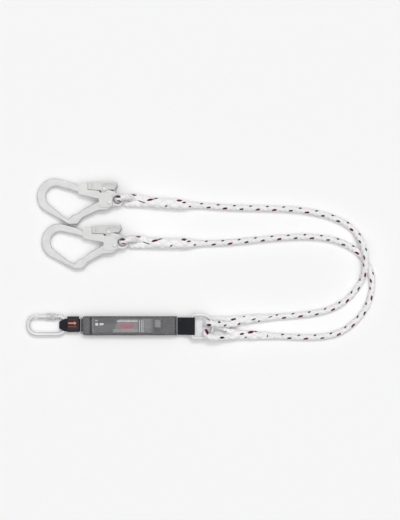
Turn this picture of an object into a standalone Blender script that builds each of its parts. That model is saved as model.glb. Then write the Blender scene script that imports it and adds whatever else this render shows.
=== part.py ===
"""Twin shock-absorbing lanyard, laid out on a flat surface.

A screw-gate karabiner, an energy absorber pack, a D-ring, two rope legs with spliced
eyes and two large hooks. Metres, +Z up. The origin lies on the underside of the absorber
pack, +X runs from the karabiner towards the D-ring, and the legs curve back over +Y.
"""

import math

import bmesh
import bpy
from mathutils import Matrix, Vector

MM = 0.001
CLEARANCE = 0.3 * MM

# Rope and its two legs
ROPE_DIAMETER = 16 * MM
ROPE_RADIUS = ROPE_DIAMETER / 2
EYE_STRAND_GAP = 0.4 * MM
LEG_POINT_SPACING = 2.0 * ROPE_DIAMETER

# Splices: length, greatest diameter, and the share of the length before they thin to the rope
HOOK_SPLICE = (150 * MM, 26 * MM, 0.7)
RING_SPLICE = (112 * MM, 23 * MM, 0.25)
SPLICE_END_DIAMETER = 17 * MM
SPLICE_JOINING = 27 * MM

# Centre line of each leg from the throat of its hook eye to the throat of its ring eye
UPPER_ROUTE = [
    (16.3, 311.8, 8), (68.8, 306.3, 8), (123.8, 302.3, 8), (173.8, 299.5, 8),
    (223.8, 296.3, 8), (273.8, 293.8, 8), (323.8, 292.8, 8), (373.8, 291.3, 8),
    (423.8, 288.0, 8), (462.8, 281.5, 8), (499.8, 271.5, 8), (534.8, 256.0, 8),
    (559.3, 236.5, 9), (575.0, 211.0, 18), (583.3, 186.0, 25.5), (586.5, 161.3, 26),
    (584.3, 137.5, 21.5), (576.8, 112.5, 10), (561.5, 87.8, 8), (541.0, 66.3, 8),
    (516.8, 49.0, 8), (487.8, 37.3, 8), (456.3, 30.5, 8), (398.8, 24.3, 8),
    (348.8, 20.5, 8), (298.8, 16.8, 8), (248.8, 9.8, 8),
]
LOWER_ROUTE = [
    (28.0, 208.3, 8), (73.8, 206.0, 8), (123.8, 205.3, 8), (173.8, 205.3, 8),
    (211.3, 206.0, 8), (248.8, 208.0, 8), (286.3, 211.3, 8), (323.8, 215.0, 8),
    (368.8, 218.8, 8), (422.5, 221.8, 8), (453.8, 221.3, 8), (498.8, 216.3, 8),
    (524.3, 208.5, 8), (547.0, 198.0, 8), (564.5, 186.3, 8), (578.3, 172.0, 8),
    (589.3, 156.3, 8), (597.8, 138.8, 8), (602.5, 118.8, 8), (602.8, 94.8, 8),
    (598.3, 70.5, 8), (588.3, 44.8, 8), (572.5, 21.8, 8), (551.0, 1.5, 8),
    (528.0, -14.3, 8), (499.3, -24.3, 8), (463.3, -28.5, 8), (427.5, -28.8, 8),
    (398.8, -27.8, 8), (348.8, -25.5, 8), (298.8, -23.3, 8), (248.8, -21.0, 8),
]

# D-ring, lying level above the strands that pass under its bow
RING_BAR = 8 * MM
RING_INNER_WIDTH = 49.8 * MM
RING_LEG_LENGTH = 22.5 * MM
RING_CORNER = 6 * MM
RING_BAR_X = 154.5 * MM
RING_Y = -2.2 * MM
RING_Z = ROPE_DIAMETER + RING_BAR / 2 + 2 * CLEARANCE

# Eyes round the bow of the ring: upper strand, crown inside the ring, lower strand
UPPER_RING_EYE = [
    (235, 3.9, 22.5), (222, 4.3, 28), (211, 4.7, 32), (202, 5.2, 33.3), (194.5, 6.3, 30),
    (189.3, 8.3, 22), (188.5, 11.3, 13.8), (194, 14.5, 8.7), (203, 16.4, 8), (225, 16.8, 8),
]
LOWER_RING_EYE = [
    (235, -27.8, 22.5), (222, -28.4, 28), (210, -28.4, 32.3), (200, -27.2, 33.6),
    (193, -23.5, 32.9), (188.5, -18.2, 29.5), (187.8, -13.5, 21), (190.5, -9.4, 13.5),
    (196.5, -5.2, 8.8), (206, -2, 8), (222, -2.4, 8), (235, -7, 8),
]
RING_EYE_THROAT_TILT = math.radians(42)
EYE_POINT_SPACING = 6.5 * MM

# Webbing and absorber pack
WEBBING = 2.5 * MM
WEBBING_GAP = 0.5 * MM
HARNESS_LOOP_GAP = 1.3 * MM
PACK_LENGTH = 241.3 * MM
PACK_RIGHT = 117.5 * MM
PACK_LEFT = PACK_RIGHT - PACK_LENGTH
PACK_WIDTH = 48 * MM
PACK_HEIGHT = 28 * MM
PACK_CORNER = 6.5 * MM
COVER_WALL = 0.8 * MM
COVER_FLARE = 12 * MM
COVER_MOUTH_WIDTH = 41 * MM
COVER_MOUTH_HEIGHT = 19 * MM
PACK_END_ROOM = 6.5 * MM
PACK_SOFT_END = 6 * MM
LABEL_LEFT = PACK_LEFT + 29.8 * MM
LABEL_RIGHT = PACK_RIGHT - 35.5 * MM
LABEL_THICKNESS = 0.3 * MM
RING_LOOP_WIDTH = PACK_WIDTH - 4.2 * MM
RING_LOOP_Y = -1.0 * MM
HARNESS_LOOP_WIDTH = 32 * MM
HARNESS_LOOP_Y = 1.6 * MM
HARNESS_LOOP_REACH = 54 * MM
HARNESS_LOOP_LEFT = PACK_LEFT - HARNESS_LOOP_REACH
HARNESS_LOOP_CHAMFER = 8 * MM
HARNESS_LOOP_TAPER = 0.55
HARNESS_LOOP_ROOM = 0.8 * MM
TAG_LENGTH = 29.3 * MM
TAG_RIGHT = PACK_LEFT - 3.7 * MM
TAG_LEFT = TAG_RIGHT - TAG_LENGTH
TAG_WIDTH = 38.4 * MM
TAG_Y = 3.7 * MM
TAG_WALL = 0.6 * MM

# Oval karabiner
ROD = 10.5 * MM
OVAL_STRAIGHT = 48.8 * MM
OVAL_RADIUS = 23.5 * MM
OVAL_RIGHT_X = HARNESS_LOOP_LEFT - 5.7 * MM
OVAL_LEFT_X = OVAL_RIGHT_X - OVAL_STRAIGHT
OVAL_Y = 1.25 * MM
SLEEVE_DIAMETER = 17.5 * MM
SLEEVE_LENGTH = 23 * MM
SLEEVE_RIGHT = OVAL_RIGHT_X - 3.1 * MM
GATE_DIAMETER = 12 * MM
GATE_Y = 22 * MM
GATE_END = OVAL_RIGHT_X + 2.1 * MM
HINGE_X = OVAL_LEFT_X - 1.7 * MM
HINGE_Y = 23 * MM
HINGE_EAR = 6.2 * MM
TANG_THICKNESS = 4.4 * MM
TANG_RADIUS = 5.6 * MM
EAR_HEIGHT = 10.6 * MM
NOSE_DIAMETER = 11.8 * MM
NOSE_RIGHT = OVAL_RIGHT_X + 7.5 * MM
LATCH_X = GATE_END - 2 * MM
LATCH_DIAMETER = 2.4 * MM
SPRING_BORE = 6.8 * MM
KARABINER_Z = SLEEVE_DIAMETER / 2 + 1.5 * CLEARANCE

# Hooks, drawn flat round the centre of the rope eye, the bow at -X. HOOK_UNIT is 1 mm of the
# outlines on a hook of this length
HOOK_LENGTH = 218.5 * MM
HOOK_UNIT = HOOK_LENGTH / 218.5
HOOK_THICKNESS = 14 * MM
HOOK_CHAMFER = 3 * MM
EYE_OUTER = 16 * MM
EYE_HOLE = 10 * MM
EYE_THICKNESS = 9 * MM
BOW_X = -158 * HOOK_UNIT
BOW_Y = 9 * HOOK_UNIT
BOW_OUTER = 44.5 * HOOK_UNIT
BOW_INNER = 26 * HOOK_UNIT
SHEET = 2 * MM
REAR_PAD = 1 * MM
GATE_PIVOT = (-19.5 * HOOK_UNIT, -7.8 * HOOK_UNIT)
LEVER_PIVOT = (-33.5 * HOOK_UNIT, 26.3 * HOOK_UNIT)
LEVER_LOBE = 7 * MM
HOOK_RIVET = 5 * MM
HOOK_RIVET_HEAD = 9 * MM
SPRING_POCKET = 12.6 * MM
SPRING_POCKET_DEPTH = 4.6 * MM
HOOK_SPRING_DIAMETER = 9.6 * MM
HOOK_SPRING_WIRE = 1 * MM
HOOK_SPRING_TURNS = 2.5
UPPER_EYE = (-31.3 * MM, 313.8 * MM)
UPPER_TURN = 0.0
LOWER_EYE = (-19.6 * MM, 207.8 * MM)
LOWER_TURN = math.radians(2.5)
HOOK_EYE_ROOM = 0.9 * MM
HOOK_EYE_LEAN = 5 * MM
HOOK_THROAT_TILT = math.radians(8)

# Worked out from the sizes above
EYE_BAR = EYE_OUTER - EYE_HOLE
EYE_BAR_OFFSET = (EYE_OUTER + EYE_HOLE) / 2
HOOK_EYE_CROWN = ROPE_RADIUS + math.hypot(EYE_BAR, EYE_THICKNESS) / 2 + HOOK_EYE_ROOM
HOOK_REACH = BOW_OUTER - BOW_X - HOOK_CHAMFER
CHEEK = HOOK_THICKNESS / 2 + CLEARANCE
CHEEK_OUTER = CHEEK + SHEET
EYE_BAR_Z = ROPE_RADIUS + HOOK_EYE_CROWN
HOOK_PITCH = math.atan((EYE_BAR_Z - HOOK_THICKNESS / 2) / (HOOK_REACH + EYE_BAR_OFFSET))
HOOK_Z = EYE_BAR_Z - EYE_BAR_OFFSET * math.sin(HOOK_PITCH)
RING_RADIUS = (RING_INNER_WIDTH + RING_BAR) / 2
BOW_CENTRE_X = RING_BAR_X + RING_LEG_LENGTH


def clear_scene():
    """Remove every object of the open scene."""
    for item in list(bpy.data.objects):
        bpy.data.objects.remove(item, do_unlink=True)


def collection(name):
    """A new collection linked to the scene."""
    group = bpy.data.collections.new(name)
    bpy.context.scene.collection.children.link(group)
    return group


def material(name, color, roughness, metallic=0.0, alpha=1.0):
    """A Principled material with one colour."""
    made = bpy.data.materials.new(name)
    made.use_nodes = True
    shader = made.node_tree.nodes["Principled BSDF"]
    shader.inputs["Base Color"].default_value = (*color, 1.0)
    shader.inputs["Roughness"].default_value = roughness
    shader.inputs["Metallic"].default_value = metallic
    shader.inputs["Alpha"].default_value = alpha
    made.diffuse_color = (*color, alpha)
    return made


clear_scene()
PARTS = collection("twin_lanyard")
CUTTERS = collection("twin_lanyard_cutters")
STEEL = material("bright_steel", (0.62, 0.62, 0.61), 0.25, 1.0)
SLEEVE_STEEL = material("sleeve_steel", (0.6, 0.59, 0.54), 0.35, 1.0)
SPRING_STEEL = material("spring_steel", (0.45, 0.45, 0.46), 0.3, 1.0)
FORGED = material("forged_alloy", (0.68, 0.68, 0.67), 0.45, 0.9)
SHEET_METAL = material("sheet_metal", (0.64, 0.64, 0.62), 0.4, 0.9)
ROPE = material("white_rope", (0.85, 0.84, 0.84), 0.8)
BLACK_WEBBING = material("black_webbing", (0.03, 0.03, 0.035), 0.85)
TAG_CLOTH = material("tag_cloth", (0.035, 0.035, 0.04), 0.8)
TEAR_WEBBING = material("tear_webbing", (0.15, 0.15, 0.16), 0.85)
PRINTED_LABEL = material("printed_label", (0.18, 0.18, 0.19), 0.6)
CLEAR_FILM = material("clear_film", (0.75, 0.75, 0.76), 0.15, 0.0, 0.3)


def link(name, mesh, finish, parent=None):
    """A new part with one material, under its parent empty."""
    made = bpy.data.objects.new(name, mesh)
    mesh.materials.clear()
    mesh.materials.append(finish)
    PARTS.objects.link(made)
    made.parent = parent
    return made


def frame_empty(name, location, rotation=None, parent=None):
    """An empty that carries a sub-assembly."""
    made = bpy.data.objects.new(name, None)
    PARTS.objects.link(made)
    made.location = location
    if rotation is not None:
        made.rotation_euler = rotation.to_euler()
    made.parent = parent
    return made


def cut(piece, cutter, operation="DIFFERENCE"):
    """Cut a piece with another object, or join that object to it."""
    PARTS.objects.unlink(cutter)
    CUTTERS.objects.link(cutter)
    cutter.hide_render = True
    cutter.display_type = "WIRE"
    boolean = piece.modifiers.new(cutter.name, "BOOLEAN")
    boolean.operation = operation
    boolean.solver = "EXACT"
    boolean.object = cutter


def smooth_by_angle(mesh, degrees=35):
    """Shade a mesh smooth, with its edges over the angle kept sharp."""
    mesh.shade_smooth()
    mesh.set_sharp_from_angle(angle=math.radians(degrees))


def finish_mesh(name, work):
    """Turn a bmesh into a mesh with its faces pointing out."""
    bmesh.ops.recalc_face_normals(work, faces=work.faces)
    mesh = bpy.data.meshes.new(name)
    work.to_mesh(mesh)
    work.free()
    smooth_by_angle(mesh)
    return mesh


def arc(centre, radius, start, end, steps):
    """Points on an arc, its angles in degrees."""
    points = []
    for step in range(steps + 1):
        angle = math.radians(start + (end - start) * step / steps)
        points.append((centre[0] + radius * math.cos(angle), centre[1] + radius * math.sin(angle)))
    return points


def rounded(corners, arc_step=22.0):
    """A closed outline whose corners (x, y, radius) are rounded, and (x, y) are sharp."""
    outline = []
    count = len(corners)
    for index, corner in enumerate(corners):
        here = Vector(corner[:2])
        if len(corner) == 2:
            outline.append(tuple(here))
            continue
        back = (Vector(corners[index - 1][:2]) - here)
        ahead = (Vector(corners[(index + 1) % count][:2]) - here)
        turn = math.pi - back.angle(ahead)
        reach = min(corner[2] * math.tan(turn / 2), 0.48 * back.length, 0.48 * ahead.length)
        radius = reach / math.tan(turn / 2)
        start = here + back.normalized() * reach
        middle = (back.normalized() + ahead.normalized()).normalized()
        centre = here + middle * math.hypot(radius, reach)
        steps = max(1, round(math.degrees(turn) / arc_step))
        first = math.atan2(start.y - centre.y, start.x - centre.x)
        sign = 1.0 if back.x * ahead.y - back.y * ahead.x < 0 else -1.0
        for step in range(steps + 1):
            angle = first + sign * turn * step / steps
            outline.append((centre.x + radius * math.cos(angle), centre.y + radius * math.sin(angle)))
    return outline


def plate(name, outline, low, high, chamfer=0.0):
    """A flat plate from an outline in XY, between two heights, its edges chamfered."""
    work = bmesh.new()
    bottom = work.faces.new([work.verts.new((x, y, low + chamfer)) for x, y in outline])
    raised = bmesh.ops.extrude_face_region(work, geom=[bottom])
    moved = [item for item in raised["geom"] if isinstance(item, bmesh.types.BMVert)]
    bmesh.ops.translate(work, verts=moved, vec=(0, 0, high - low - 2 * chamfer))
    bmesh.ops.recalc_face_normals(work, faces=work.faces)
    if chamfer:
        for sign in (-1, 1):
            end = max(work.faces, key=lambda face: sign * face.calc_center_median().z)
            bmesh.ops.inset_region(work, faces=[end], thickness=chamfer, depth=chamfer)
    return finish_mesh(name, work)


def plate_part(name, outline, low, high, finish, parent=None, chamfer=0.0):
    """A plate as an object of its own."""
    return link(name, plate(name, outline, low, high, chamfer), finish, parent)


def cylinder(name, radius, low, high, centre=(0, 0), sides=20, axis="Z"):
    """A cylinder mesh between two positions along Z or X."""
    work = bmesh.new()
    bmesh.ops.create_cone(work, cap_ends=True, segments=sides, radius1=radius, radius2=radius,
                          depth=high - low)
    middle = (low + high) / 2
    if axis == "X":
        turn = Matrix.Rotation(math.pi / 2, 4, "Y")
        place = Matrix.Translation((middle, centre[0], centre[1])) @ turn
    else:
        place = Matrix.Translation((centre[0], centre[1], middle))
    bmesh.ops.transform(work, matrix=place, verts=work.verts)
    return finish_mesh(name, work)


def box(name, low, high):
    """A box mesh between two corners."""
    work = bmesh.new()
    bmesh.ops.create_cube(work, size=1)
    size = Vector(high) - Vector(low)
    middle = (Vector(high) + Vector(low)) / 2
    bmesh.ops.transform(work, matrix=Matrix.Translation(middle) @ Matrix.Diagonal((*size, 1)),
                        verts=work.verts)
    return finish_mesh(name, work)


def turned(name, profile, finish, parent=None, closed=False, steps=16):
    """A turned piece about its own Z: profile points (radius, height) from top to bottom."""
    mesh = bpy.data.meshes.new(name)
    edges = [(i, i + 1) for i in range(len(profile) - 1)]
    if closed:
        edges.append((len(profile) - 1, 0))
    mesh.from_pydata([(radius, 0, height) for radius, height in profile], edges, [])
    made = link(name, mesh, finish, parent)
    screw = made.modifiers.new("turn", "SCREW")
    screw.steps = steps
    screw.render_steps = steps
    screw.use_merge_vertices = True
    screw.merge_threshold = 0.00001
    screw.use_smooth_shade = True
    return made


def tube(name, points, radius, resolution=3, cyclic=False):
    """A round tube mesh along a path of points, its ends closed."""
    curve = bpy.data.curves.new(name, "CURVE")
    curve.dimensions = "3D"
    curve.twist_mode = "MINIMUM"
    curve.bevel_depth = radius
    curve.bevel_resolution = resolution
    curve.use_fill_caps = not cyclic
    spline = curve.splines.new("POLY")
    spline.points.add(len(points) - 1)
    for knot, point in zip(spline.points, points):
        knot.co = (*point, 1.0)
    spline.use_cyclic_u = cyclic
    holder = bpy.data.objects.new(name + "_curve", curve)
    bpy.context.scene.collection.objects.link(holder)
    graph = bpy.context.evaluated_depsgraph_get()
    mesh = bpy.data.meshes.new_from_object(holder.evaluated_get(graph))
    bpy.data.objects.remove(holder, do_unlink=True)
    work = bmesh.new()
    work.from_mesh(mesh)
    bpy.data.meshes.remove(mesh)
    bmesh.ops.remove_doubles(work, verts=work.verts, dist=0.00001)
    return finish_mesh(name, work)


def smooth_curve(points, per_span=12):
    """A dense smooth line through the points, by centripetal Catmull-Rom spans."""
    knots = [Vector(point) for point in points]
    knots = [2 * knots[0] - knots[1]] + knots + [2 * knots[-1] - knots[-2]]
    line = []
    for index in range(1, len(knots) - 2):
        p0, p1, p2, p3 = knots[index - 1:index + 3]
        t1 = (p1 - p0).length ** 0.5
        t2 = t1 + (p2 - p1).length ** 0.5
        t3 = t2 + (p3 - p2).length ** 0.5
        for step in range(per_span):
            t = t1 + (t2 - t1) * step / per_span
            a1 = p0 * ((t1 - t) / t1) + p1 * (t / t1)
            a2 = p1 * ((t2 - t) / (t2 - t1)) + p2 * ((t - t1) / (t2 - t1))
            a3 = p2 * ((t3 - t) / (t3 - t2)) + p3 * ((t - t2) / (t3 - t2))
            b1 = a1 * ((t2 - t) / t2) + a2 * (t / t2)
            b2 = a2 * ((t3 - t) / (t3 - t1)) + a3 * ((t - t1) / (t3 - t1))
            line.append(b1 * ((t2 - t) / (t2 - t1)) + b2 * ((t - t1) / (t2 - t1)))
    line.append(knots[-2].copy())
    return line


def stretch(line, start, end, spacing):
    """Evenly spaced points of a line between two distances along it."""
    reach = [0.0]
    for here, ahead in zip(line, line[1:]):
        reach.append(reach[-1] + (ahead - here).length)
    count = max(2, round((end - start) / spacing))
    points = []
    index = 0
    for step in range(count + 1):
        distance = start + (end - start) * step / count
        while index < len(reach) - 2 and reach[index + 1] < distance:
            index += 1
        share = (distance - reach[index]) / (reach[index + 1] - reach[index])
        points.append(line[index].lerp(line[index + 1], share))
    return points


def line_length(line):
    """Length of a line of points."""
    return sum((ahead - here).length for here, ahead in zip(line, line[1:]))


def ease(share):
    """Smooth step from 0 to 1."""
    return share * share * (3 - 2 * share)


def strip(name, path, centre_y, half_width, finish, thickness=WEBBING):
    """A flat band along a path in XZ, as wide at each point as half_width says."""
    work = bmesh.new()
    rows = []
    for x, z in path:
        half = half_width(x)
        rows.append((work.verts.new((x, centre_y - half, z)), work.verts.new((x, centre_y + half, z))))
    for (a, b), (c, d) in zip(rows, rows[1:]):
        work.faces.new((a, b, d, c))
    made = link(name, finish_mesh(name, work), finish)
    solid = made.modifiers.new("thickness", "SOLIDIFY")
    solid.thickness = thickness
    solid.offset = 0
    solid.use_even_offset = True
    return made


def coil(radius, wire, turns, low, rise, points_per_turn=9):
    """Points of a coil about Z, with its two ends led out in a short tangent."""
    line = []
    count = round(turns * points_per_turn)
    for step in range(count + 1):
        angle = 2 * math.pi * turns * step / count
        line.append(Vector((radius * math.cos(angle), radius * math.sin(angle),
                            low + wire / 2 + rise * turns * step / count)))
    return line


# Karabiner


def karabiner_body(parent):
    """Bent rod with a flat hinge tang and a notched nose."""
    half = ROD / 2
    shift = Vector((OVAL_RIGHT_X, OVAL_Y, 0))
    hinge_angle = 90 + math.degrees(math.asin((OVAL_LEFT_X - HINGE_X + HINGE_EAR + 1.8 * MM) / OVAL_RADIUS))
    nose_angle = 90 - math.degrees(math.asin((NOSE_RIGHT - OVAL_RIGHT_X - MM) / OVAL_RADIUS))
    flat = arc((OVAL_LEFT_X, OVAL_Y), OVAL_RADIUS, hinge_angle, 270, 12)
    flat += arc((OVAL_RIGHT_X, OVAL_Y), OVAL_RADIUS, -90, nose_angle, 13)
    path = [Vector((x, y, 0)) - shift for x, y in flat]
    body = link("karabiner_body", tube("karabiner_body", path, half, 4), STEEL, parent)
    nose = cylinder("nose_round", NOSE_DIAMETER / 2, GATE_END + 2 * CLEARANCE, NOSE_RIGHT,
                    (GATE_Y, 0), 18, "X")
    nose.transform(Matrix.Translation(-shift))
    cut(body, link("nose_round", nose, STEEL, parent), "UNION")
    start = (OVAL_LEFT_X + (OVAL_RADIUS) * math.cos(math.radians(hinge_angle + 8)),
             OVAL_Y + OVAL_RADIUS * math.sin(math.radians(hinge_angle + 8)))
    away = math.degrees(math.atan2(HINGE_Y - start[1], HINGE_X - start[0]))
    outline = arc((HINGE_X, HINGE_Y), TANG_RADIUS, away - 90, away + 90, 8)
    outline += arc(start, 0.8 * half, away + 90, away + 270, 4)
    tang = plate("hinge_tang", outline, -TANG_THICKNESS / 2, TANG_THICKNESS / 2)
    tang.transform(Matrix.Translation(-shift))
    cut(body, link("hinge_tang", tang, STEEL, parent), "UNION")
    pin = LATCH_DIAMETER / 2 + CLEARANCE
    end = GATE_END + 2 * CLEARANCE
    reach = GATE_Y + 3.6 * MM
    tongue = [(NOSE_RIGHT, reach), (LATCH_X - pin - MM, reach), (LATCH_X - pin - MM, GATE_Y - 0.5 * MM),
              (LATCH_X - pin, GATE_Y - 0.5 * MM)]
    tongue += arc((LATCH_X, GATE_Y), pin, 180, 0, 6)
    tongue += [(LATCH_X + pin, GATE_Y - 3 * MM), (NOSE_RIGHT, GATE_Y - 3 * MM)]
    claw = plate("nose_tongue", tongue, -2 * MM, 2 * MM)
    claw.transform(Matrix.Translation(-shift))
    cut(body, link("nose_tongue", claw, STEEL, parent), "UNION")
    bore = cylinder("tang_bore", 1.9 * MM, -ROD, ROD, (HINGE_X, HINGE_Y), 14)
    bore.transform(Matrix.Translation(-shift))
    cut(body, link("tang_bore", bore, STEEL, parent))
    return body


def karabiner_gate(parent):
    """Gate tube with its two hinge ears, spring bore and latch slot, round the hinge axis."""
    shift = Matrix.Translation((-HINGE_X, -HINGE_Y, 0))
    radius = GATE_DIAMETER / 2
    stem = cylinder("karabiner_gate", radius, HINGE_X + 3.5 * MM, GATE_END, (GATE_Y, 0), 20, "X")
    stem.transform(shift)
    gate = link("karabiner_gate", stem, STEEL, parent)
    ears = cylinder("gate_ears", HINGE_EAR, -EAR_HEIGHT / 2, EAR_HEIGHT / 2, (0, 0), 20)
    cut(gate, link("gate_ears", ears, STEEL, parent), "UNION")
    slot = TANG_THICKNESS / 2 + CLEARANCE
    cutters = {
        "hinge_slot": box("hinge_slot", (-3 * HINGE_EAR, -2 * radius, -slot),
                          (TANG_RADIUS + 2 * MM, 2 * radius, slot)),
        "latch_slot": box("latch_slot", (LATCH_X - 4 * MM - HINGE_X, -2 * radius, -2.3 * MM),
                          (GATE_END + radius - HINGE_X, 2 * radius, 2.3 * MM)),
        "spring_bore": cylinder("spring_bore", SPRING_BORE / 2, TANG_RADIUS, 36 * MM,
                                (GATE_Y - HINGE_Y, 0), 14, "X"),
        "rivet_bore": cylinder("rivet_bore", 1.9 * MM, -GATE_DIAMETER, GATE_DIAMETER, (0, 0), 14),
        "pin_bore": cylinder("pin_bore", LATCH_DIAMETER / 2 + 0.25 * MM, -GATE_DIAMETER,
                             GATE_DIAMETER, (LATCH_X - HINGE_X, GATE_Y - HINGE_Y), 12),
    }
    for name, mesh in cutters.items():
        cut(gate, link(name, mesh, STEEL, parent))
    return gate


def karabiner_small_parts(hinge, gate_line):
    """Rivet, plunger, coil spring, latch pin and locking sleeve."""
    head = EAR_HEIGHT / 2 + CLEARANCE
    profile = [(0, head + MM), (2 * MM, head + 0.8 * MM), (3 * MM, head), (1.6 * MM, head)]
    profile += [(radius, -height) for radius, height in reversed(profile)]
    turned("karabiner_gate_rivet", profile, STEEL, hinge, steps=14)
    tip = TANG_RADIUS + CLEARANCE
    bore = SPRING_BORE / 2 - CLEARANCE
    rod = [(0, 5.5 * MM), (bore, 5.5 * MM), (bore, 1.2 * MM), (bore - 1.2 * MM, 0), (0, 0)]
    plunger = turned("karabiner_gate_plunger", rod, STEEL, gate_line, steps=14)
    plunger.location = (tip, 0, 0)
    plunger.rotation_euler = (0, math.pi / 2, 0)
    wire = 0.8 * MM
    first = tip + 5.5 * MM + CLEARANCE
    turns = 9
    rise = (36 * MM - first - wire - CLEARANCE) / turns
    line = coil(bore - wire / 2, wire, turns, first, rise, 8)
    line = [Vector((point.z, point.x, point.y)) for point in line]
    link("karabiner_gate_spring", tube("karabiner_gate_spring", line, wire / 2, 1), SPRING_STEEL,
         gate_line)
    pin = cylinder("karabiner_latch_pin", LATCH_DIAMETER / 2, -5.4 * MM, 5.4 * MM,
                   (LATCH_X - HINGE_X, 0), 12)
    link("karabiner_latch_pin", pin, STEEL, gate_line)
    outer = SLEEVE_DIAMETER / 2
    inner = GATE_DIAMETER / 2 + CLEARANCE
    length = SLEEVE_LENGTH
    edge = 0.8 * MM
    wall = [(outer - edge, length), (outer, length - edge), (outer, edge), (outer - edge, 0),
            (inner, 0), (inner, length)]
    sleeve = turned("karabiner_locking_sleeve", wall, SLEEVE_STEEL, gate_line, closed=True, steps=24)
    sleeve.location = (SLEEVE_RIGHT - SLEEVE_LENGTH - HINGE_X, 0, 0)
    sleeve.rotation_euler = (0, math.pi / 2, 0)


def build_karabiner():
    """The whole karabiner, on an empty at the centre of the end that the webbing holds."""
    swing = frame_empty("karabiner_swing_axis", (OVAL_RIGHT_X, OVAL_Y, KARABINER_Z))
    hinge = frame_empty("karabiner_hinge_axis", (HINGE_X - OVAL_RIGHT_X, HINGE_Y - OVAL_Y, 0),
                        parent=swing)
    gate_line = frame_empty("karabiner_gate_line", (0, GATE_Y - HINGE_Y, 0), parent=hinge)
    karabiner_body(swing)
    karabiner_gate(hinge)
    karabiner_small_parts(hinge, gate_line)


# Absorber pack


def pack_section(width, height, corner, steps=4):
    """A rounded rectangle in YZ that stands on z = 0, as a closed list of points."""
    half = width / 2
    corners = ((half - corner, corner, -90), (half - corner, height - corner, 0),
               (corner - half, height - corner, 90), (corner - half, corner, 180))
    points = []
    for y, z, start in corners:
        points += arc((y, z), corner, start, start + 90, steps)
    return points


def rounded_block(name, stations, finish):
    """A closed loft through rounded sections: (x, width, height, corner, lift) each."""
    work = bmesh.new()
    rings = []
    for x, width, height, corner, lift in stations:
        section = pack_section(width, height, corner)
        rings.append([work.verts.new((x, y, z + lift)) for y, z in section])
    for here, ahead in zip(rings, rings[1:]):
        for index in range(len(here)):
            follow = (index + 1) % len(here)
            work.faces.new((here[index], here[follow], ahead[follow], ahead[index]))
    work.faces.new(rings[0])
    work.faces.new(rings[-1])
    return link(name, finish_mesh(name, work), finish)


def build_cover():
    """Clear sleeve round the pack, drawn in at both ends and open for the webbing."""
    middle = PACK_HEIGHT / 2
    mouth_lift = middle - COVER_MOUTH_HEIGHT / 2
    stations = [
        (PACK_LEFT, COVER_MOUTH_WIDTH, COVER_MOUTH_HEIGHT, 0.7 * PACK_CORNER, mouth_lift),
        (PACK_LEFT + COVER_FLARE, PACK_WIDTH, PACK_HEIGHT, PACK_CORNER, 0),
        (PACK_RIGHT - COVER_FLARE, PACK_WIDTH, PACK_HEIGHT, PACK_CORNER, 0),
        (PACK_RIGHT, PACK_WIDTH, COVER_MOUTH_HEIGHT, 0.7 * PACK_CORNER, mouth_lift),
    ]
    work = bmesh.new()
    rings = []
    for x, width, height, corner, lift in stations:
        rings.append([work.verts.new((x, y, z + lift)) for y, z in pack_section(width, height, corner)])
    for here, ahead in zip(rings, rings[1:]):
        for index in range(len(here)):
            follow = (index + 1) % len(here)
            work.faces.new((here[index], here[follow], ahead[follow], ahead[index]))
    cover = link("absorber_cover", finish_mesh("absorber_cover", work), CLEAR_FILM)
    wall = cover.modifiers.new("wall", "SOLIDIFY")
    wall.thickness = COVER_WALL
    wall.offset = -1
    wall.use_even_offset = True


def build_tear_webbing():
    """The folded tear webbing that fills the cover."""
    inset = COVER_WALL + CLEARANCE
    start = PACK_LEFT + PACK_END_ROOM
    end = PACK_RIGHT - PACK_END_ROOM
    soft = PACK_SOFT_END
    width = PACK_WIDTH - 2 * inset
    height = PACK_HEIGHT - 2 * inset - LABEL_THICKNESS - CLEARANCE
    corner = PACK_CORNER - inset
    end_corner = corner - 0.3 * soft
    rounded_block("absorber_tear_webbing", [
        (start, width - soft, height - soft, end_corner, inset + soft / 2),
        (start + soft, width, height, corner, inset),
        (end - soft, width, height, corner, inset),
        (end, width - soft, height - soft, end_corner, inset + soft / 2),
    ], TEAR_WEBBING)
    top = PACK_HEIGHT - COVER_WALL - CLEARANCE
    half = PACK_WIDTH / 2 - PACK_CORNER
    sheet = box("absorber_label", (LABEL_LEFT, -half, top - LABEL_THICKNESS), (LABEL_RIGHT, half, top))
    link("absorber_label", sheet, PRINTED_LABEL)


def ring_loop_path():
    """Side view of the ring loop: out of the pack, round the ring's bar and back."""
    start = PACK_RIGHT - PACK_END_ROOM + CLEARANCE
    layer = (WEBBING + WEBBING_GAP) / 2
    middle = PACK_HEIGHT / 2
    radius = RING_BAR / 2 + CLEARANCE + WEBBING / 2
    merge = RING_BAR_X - 2.6 * radius
    lift = (RING_Z - middle) / 2
    out = [(start, layer), (merge - 9 * MM, layer), (merge, lift + layer + 0.2 * radius),
           (RING_BAR_X - 0.7 * radius, RING_Z - middle + 0.96 * radius)]
    back = [(RING_BAR_X - 0.7 * radius, RING_Z - middle - 0.96 * radius),
            (merge, lift - layer - 0.2 * radius), (merge - 9 * MM, -layer), (start, -layer)]
    turn = arc((RING_BAR_X, RING_Z - middle), radius, 90, -90, 10)
    return [(x, middle + z) for x, z in out + turn + back]


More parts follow.
